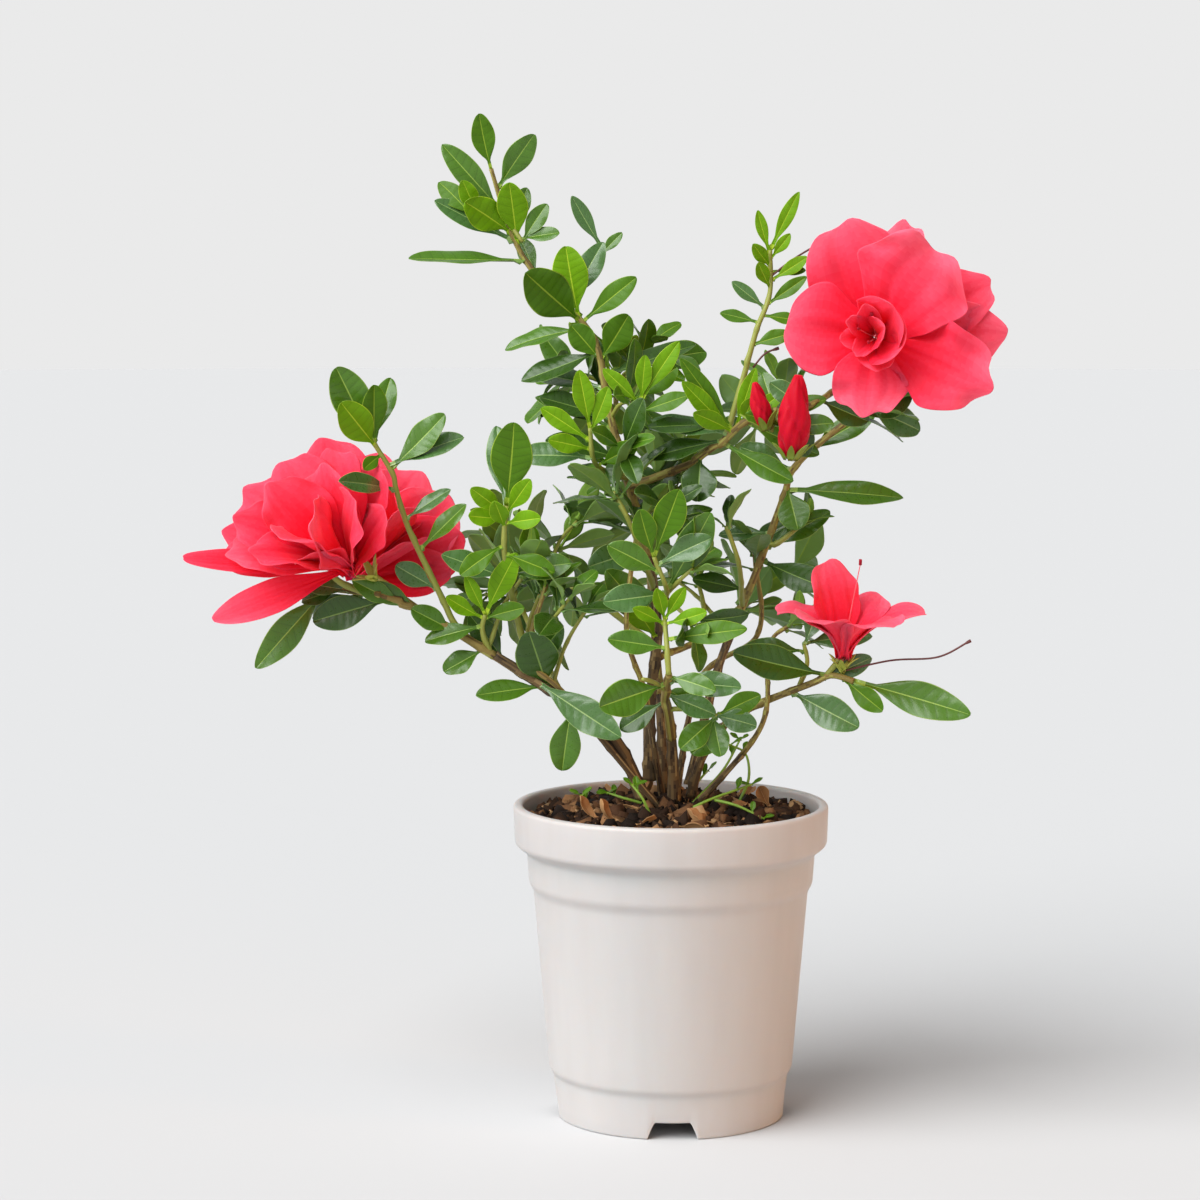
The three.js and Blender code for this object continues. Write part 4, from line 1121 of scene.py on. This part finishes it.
def make_mix():
    """Peat and bark: a rough mound covered in chips and crumbs of many sizes."""
    joined = Joined()
    dice = np.random.default_rng(6)
    low, high = corners_of("potting_mix")
    reach = (high[0] - low[0]) / 2
    rings, spokes = 46, 110
    radius = np.linspace(0.02, 1, rings)[:, None] * reach
    angle = np.arange(spokes)[None, :] * 2 * math.pi / spokes
    x, y = radius * np.cos(angle), radius * np.sin(angle)
    flat = np.column_stack([x.ravel(), y.ravel(), np.zeros(x.size)])
    z = mix_height(x, y) + (1.3 * waves(flat, 9, 1) + 0.6 * waves(flat, 3.5, 2)).reshape(x.shape)
    z[-1] = mix_height(x, y)[-1] - 3
    deep = np.full((1, spokes), low[2])
    x = np.vstack([x, x[-1:], 0.7 * x[-1:]])
    y = np.vstack([y, y[-1:], 0.7 * y[-1:]])
    z = np.vstack([z, deep + 100, deep + 60])
    ends = [[0, 0, z[0].mean()], [0, 0, z[-1].mean()]]
    turned_solid(joined, np.stack([x, y, z], axis=2), ends, 0, outward=False)

    block = np.array([[a, b, c] for a in (-1, 1) for b in (-1, 1) for c in (-1, 1)], float)
    block_faces = [[0, 1, 3, 2], [4, 6, 7, 5], [0, 4, 5, 1], [2, 3, 7, 6], [0, 2, 6, 4], [1, 5, 7, 3]]
    for _ in range(1900):
        r = reach * 0.98 * math.sqrt(dice.uniform(0, 1))
        a = dice.uniform(0, 2 * math.pi)
        cx, cy = r * math.cos(a), r * math.sin(a)
        size = dice.choice([0.8, 1.4, 2.3, 3.3], p=[0.36, 0.33, 0.21, 0.1]) * dice.uniform(0.8, 1.3)
        shape = np.array([size, size * dice.uniform(0.4, 0.8), size * dice.uniform(0.25, 0.6)])
        corners = block * shape * (1 + dice.uniform(-0.35, 0.35, (8, 3)))
        turn = np.linalg.qr(dice.normal(size=(3, 3)))[0]
        if np.linalg.det(turn) < 0:
            turn[:, 0] = -turn[:, 0]
        lift = min(size, 2.0) * 0.45
        corners = corners @ turn.T + [cx, cy, float(mix_height(cx, cy)) + lift + 0.4]
        over = np.hypot(corners[:, 0], corners[:, 1]) / (reach - 0.2)
        corners[:, :2] /= np.maximum(over, 1)[:, None]
        tint = dice.choice(6, p=[0.17, 0.25, 0.25, 0.18, 0.1, 0.05])
        joined.add(corners, block_faces, tint)
    crumbs = [crumb(f"mix_crumb_{i}", c) for i, c in enumerate(MIX_TINTS)]
    joined.make("peat_and_bark", crumbs, "potting_mix", "potting_mix")


def make_litter(leaf_finishes):
    """Dry curled leaves that lie on the mix, and the few green weed seedlings that come up in it."""
    dice = np.random.default_rng(9)
    litter = Joined()
    spots = [
        # across, back, bearing, length, width
        (7, -34, 30, 13, 9), (13, -38, 150, 12, 7), (2, -39, -20, 11, 6), (19, -33, 70, 10, 6),
        (-20, -30, 165, 13, 6), (-26, -25, 150, 14, 6), (-14, -36, 20, 9, 5), (34, -14, 120, 12, 7),
        (20, -16, 40, 11, 7), (-12, -14, 150, 12, 7), (-14, 12, 10, 14, 7), (28, 20, 70, 14, 7),
        (-20, 32, 110, 14, 7), (38, 6, 100, 12, 6), (10, 34, 200, 14, 7),
    ]
    for x, y, bearing, length, width in spots:
        b = math.radians(bearing)
        heading = np.array([math.cos(b), math.sin(b), dice.uniform(-0.15, 0.1)])
        face = unit(UP + dice.normal(size=3) * 0.3)
        base = np.array([x, y, float(mix_height(x, y)) + 2.4])
        leaf(litter, base, heading, face, length, width, "dry", dice, fold=dice.uniform(0.9, 1.7),
             arch=dice.uniform(-2.2, 1.8))
    litter.make("dry_leaves", leaf_finishes, "potting_mix")

    weeds = Joined()
    blades = Joined()
    sprouts = [
        # places across and back, and heights over the mix
        ([(-8, -24), (-11, -25), (-15, -23)], (2, 9, 14)),
        ([(-30, -14), (-31, -16), (-34, -15)], (1, 5, 10)),
        ([(4, -20), (14, -18), (30, -12)], (2, 7, 13)),
        ([(16, -17), (25, -20), (34, -22)], (7, 6, 3)),
        ([(26, 6), (30, 8), (29, 12), (23, 10)], (2, 12, 21, 24)),
        ([(8, -4), (20, 8), (27, 16)], (2, 14, 26)),
        ([(-10, -8), (-18, -9), (-24, -6)], (3, 6, 8)),
        ([(6, 18), (12, 24), (15, 30)], (2, 9, 12)),
    ]
    for path, lift in sprouts:
        places = [np.array([x, y, float(mix_height(x, y)) + h]) for (x, y), h in zip(path, lift)]
        route = smooth_route(places, 1.5)
        tube(weeds, route, np.linspace(0.65, 0.4, len(route)), 8, 0)
        for share, clock in ((1.0, -60), (1.0, 50), (0.8, 10)):
            heading = aimed(clock + dice.uniform(-20, 20), dice.uniform(-30, 30))
            base = route[int(share * (len(route) - 1))]
            leaf(blades, base, heading, UP + VIEWER * 0.5, dice.uniform(4, 6.5), dice.uniform(2.2, 3.2),
                 "fresh", dice)
    weeds.make("weed_stems", [stem_skin("weed_skin", "#7d9f38", 0.45, 0.9)], "green_shoot")
    blades.make("weed_leaves", leaf_finishes, "foliage")


# ---- pot --------------------------------------------------------------------------------------

def rounded(places, radius, steps=5):
    """A profile with each corner rounded by up to this radius."""
    p = np.array(places, float)
    out = [p[0]]
    for before, corner, after in zip(p, p[1:], p[2:]):
        back, on = before - corner, after - corner
        cut = min(radius, np.linalg.norm(back) * 0.45, np.linalg.norm(on) * 0.45)
        a, b = corner + unit(back) * cut, corner + unit(on) * cut
        for t in np.linspace(0, 1, steps):
            out.append((1 - t) ** 2 * a + 2 * t * (1 - t) * corner + t * t * b)
    out.append(p[-1])
    return np.array(out)


def make_pot():
    """The nursery pot: a banded rim, a stepped neck, a tapered wall and a set-back foot with notches."""
    rim, _, height = corners_of("pot")[1]
    foot, wall, floor, recess = rim - 16.3, 1.8, 8.5, 6
    under = [(0.4, 0), (14, 0), (16, recess), (foot - 3, recess), (foot - 2.1, 0)]
    outer = [(foot - 2.1, 0), (foot, 0), (rim - 15.1, 16.2), (rim - 13.4, 18.6), (rim - 7.7, 86.8),
             (rim - 5.9, 90), (rim - 5.1, 101.5), (rim - 0.5, 105), (rim, height - 0.2),
             (rim - 3.6, height), (rim - 4.4, 108.5), (rim - 5.4 - wall, 94), (rim - 7.7 - wall, 86),
             (rim - 13.2 - wall, 20), (rim - 18, 10), (rim - 20, floor), (0.4, floor)]
    profile = np.vstack([rounded(under, 0.5, 3)[:-1], rounded(outer, 1.5)])
    fine = []
    for a, b in zip(profile, profile[1:]):
        steps = max(1, int(np.linalg.norm(b - a) / 4))
        fine += [a + (b - a) * k / steps for k in range(steps)]
    profile = np.array(fine + [profile[-1]])
    notch_places = [6.0, 6.5, 7.0, 7.6, 8.3, 9.0, 9.3, 9.8]
    near = [math.degrees(math.asin(x / foot)) for x in notch_places]
    angles = set(np.arange(0, 360, 2.0))
    for middle in (0, 90, 180, 270):
        angles |= {(middle + side * a) % 360 for a in near for side in (-1, 1)}
    angles = np.radians(sorted(angles))
    cos, sin = np.cos(angles), np.sin(angles)
    radius, level = profile[:, 0:1], profile[:, 1:2]
    x, y, z = radius * cos, radius * sin, np.repeat(level, len(angles), axis=1)
    # the notches: the foot's lower edge is drawn up where it crosses one
    off = np.minimum(np.abs(x), np.abs(y))
    rise = 6.4 * np.clip((9.3 - off) / 2.6, 0, 1) ** 0.8
    share = np.clip(1 - level / 14, 0, 1)
    z = np.where(radius > foot - 3.2, z + rise * share, z)
    joined = Joined()
    turned_solid(joined, np.stack([x, y, z], axis=2), [[0, 0, 0], [0, 0, floor]], 0)
    finish = moulded_polypropylene("moulded_pot", "#bebab8", "#b6b1af")
    joined.make("nursery_pot", [finish], "pot", "pot")


# ---- stage ------------------------------------------------------------------------------------

def make_floor():
    """A wide pale floor under the pot."""
    steps, reach = 96, 9.0  # metres
    angle = np.arange(steps) * 2 * math.pi / steps
    rim = np.column_stack([np.cos(angle), np.sin(angle), np.zeros(steps)]) * reach
    wedges = [(steps, k, (k + 1) % steps) for k in range(steps)]
    mesh = bpy.data.meshes.new("floor")
    mesh.from_pydata(rim.tolist() + [[0, 0, 0]], [], wedges)
    finish, tree, shader = surface("matt_paper_floor", Base_Color=linear("#c9c9ca"), Specular_IOR_Level=0.0)
    place = add(tree, "ShaderNodeTexCoord")
    tooth = add(tree, "ShaderNodeTexNoise", {"Scale": scale_of(3.0)}, Vector=place.outputs["Object"])
    matt = add(tree, "ShaderNodeMapRange", {"To Min": 0.9, "To Max": 1.0}, Value=tooth.outputs["Fac"])
    tree.links.new(matt.outputs["Result"], shader.inputs["Roughness"])
    mesh.materials.append(finish)
    floor = bpy.data.objects.new("floor", mesh)
    bpy.context.scene.collection.objects.link(floor)


def lamp(name, kind, place, target, energy, colour, **settings):
    """A lamp at a place in metres, aimed at a target."""
    data = bpy.data.lights.new(name, kind)
    data.energy = energy
    data.color = colour
    for key, value in settings.items():
        setattr(data, key, value)
    light = bpy.data.objects.new(name, data)
    bpy.context.scene.collection.objects.link(light)
    light.location = place
    light.rotation_euler = (Vector(target) - Vector(place)).to_track_quat("-Z", "Y").to_euler()
    light.visible_camera = False
    light.visible_glossy = kind != "AREA"  # a reflector's soft glow, with no glint of its own


def pale_room():
    """A pale room that is brighter to the left and dimmer to the right."""
    world = bpy.data.worlds.new("pale_room")
    bpy.context.scene.world = world
    world.use_nodes = True
    tree = world.node_tree
    way = add(tree, "ShaderNodeTexCoord")
    axes = add(tree, "ShaderNodeSeparateXYZ", Vector=way.outputs["Generated"])
    share = add(tree, "ShaderNodeMapRange", {"From Min": -1.0, "From Max": 1.0}, Value=axes.outputs["X"])
    ramp = add(tree, "ShaderNodeValToRGB", Fac=share.outputs["Result"])
    stops = ramp.color_ramp.elements
    stops[0].color = linear("#ffffff")
    stops[1].color = linear("#2c1f12")
    for place in (0.38, 0.6):
        stops.new(place).color = linear("#eaeaea")
    overhead = {"From Min": 0.2, "From Max": 0.9, "To Min": 1.0, "To Max": 0.5}
    front = {"From Min": -0.2, "From Max": -0.9, "To Min": 1.0, "To Max": 1.08}
    strength = add(tree, "ShaderNodeMath", {"operation": "MULTIPLY"})
    for i, (ranges, axis) in enumerate(((overhead, "Z"), (front, "Y"))):
        share = add(tree, "ShaderNodeMapRange", ranges, Value=axes.outputs[axis])
        tree.links.new(share.outputs["Result"], strength.inputs[i])
    tree.links.new(ramp.outputs["Color"], tree.nodes["Background"].inputs["Color"])
    tree.links.new(strength.outputs["Value"], tree.nodes["Background"].inputs["Strength"])


def make_stage():
    """Floor, room, a broad soft key from the upper left, a warm reflector low on the right, the camera."""
    make_floor()
    pale_room()
    lamp("key", "SUN", (-1.33, -1.15, 1.7), (0, 0, 0), 4.12, (0.985, 1.0, 1.0), angle=math.radians(54))
    lamp("warm_reflector", "AREA", (1.3, -0.45, 0.16), (0, 0, 0.08), 0.19, (1.0, 0.42, 0.06), size=0.3,
         spread=math.radians(24))
    camera = bpy.data.objects.new("camera", bpy.data.cameras.new("camera"))
    bpy.context.scene.collection.objects.link(camera)
    camera.data.lens = 99.5
    camera.data.sensor_width = 36
    camera.data.clip_end = 60
    camera.location = (-0.027, -1.25, 0.325)
    camera.rotation_euler = (math.radians(90 - 5.82), 0, 0)
    bpy.context.scene.camera = camera
    bpy.context.scene.view_settings.view_transform = "Standard"


# ---- the whole --------------------------------------------------------------------------------

grow_branches()
make_wood()
leaf_finishes = make_leaves()
make_blooms()
make_buds()
make_mix()
make_litter(leaf_finishes)
make_pot()
make_stage()
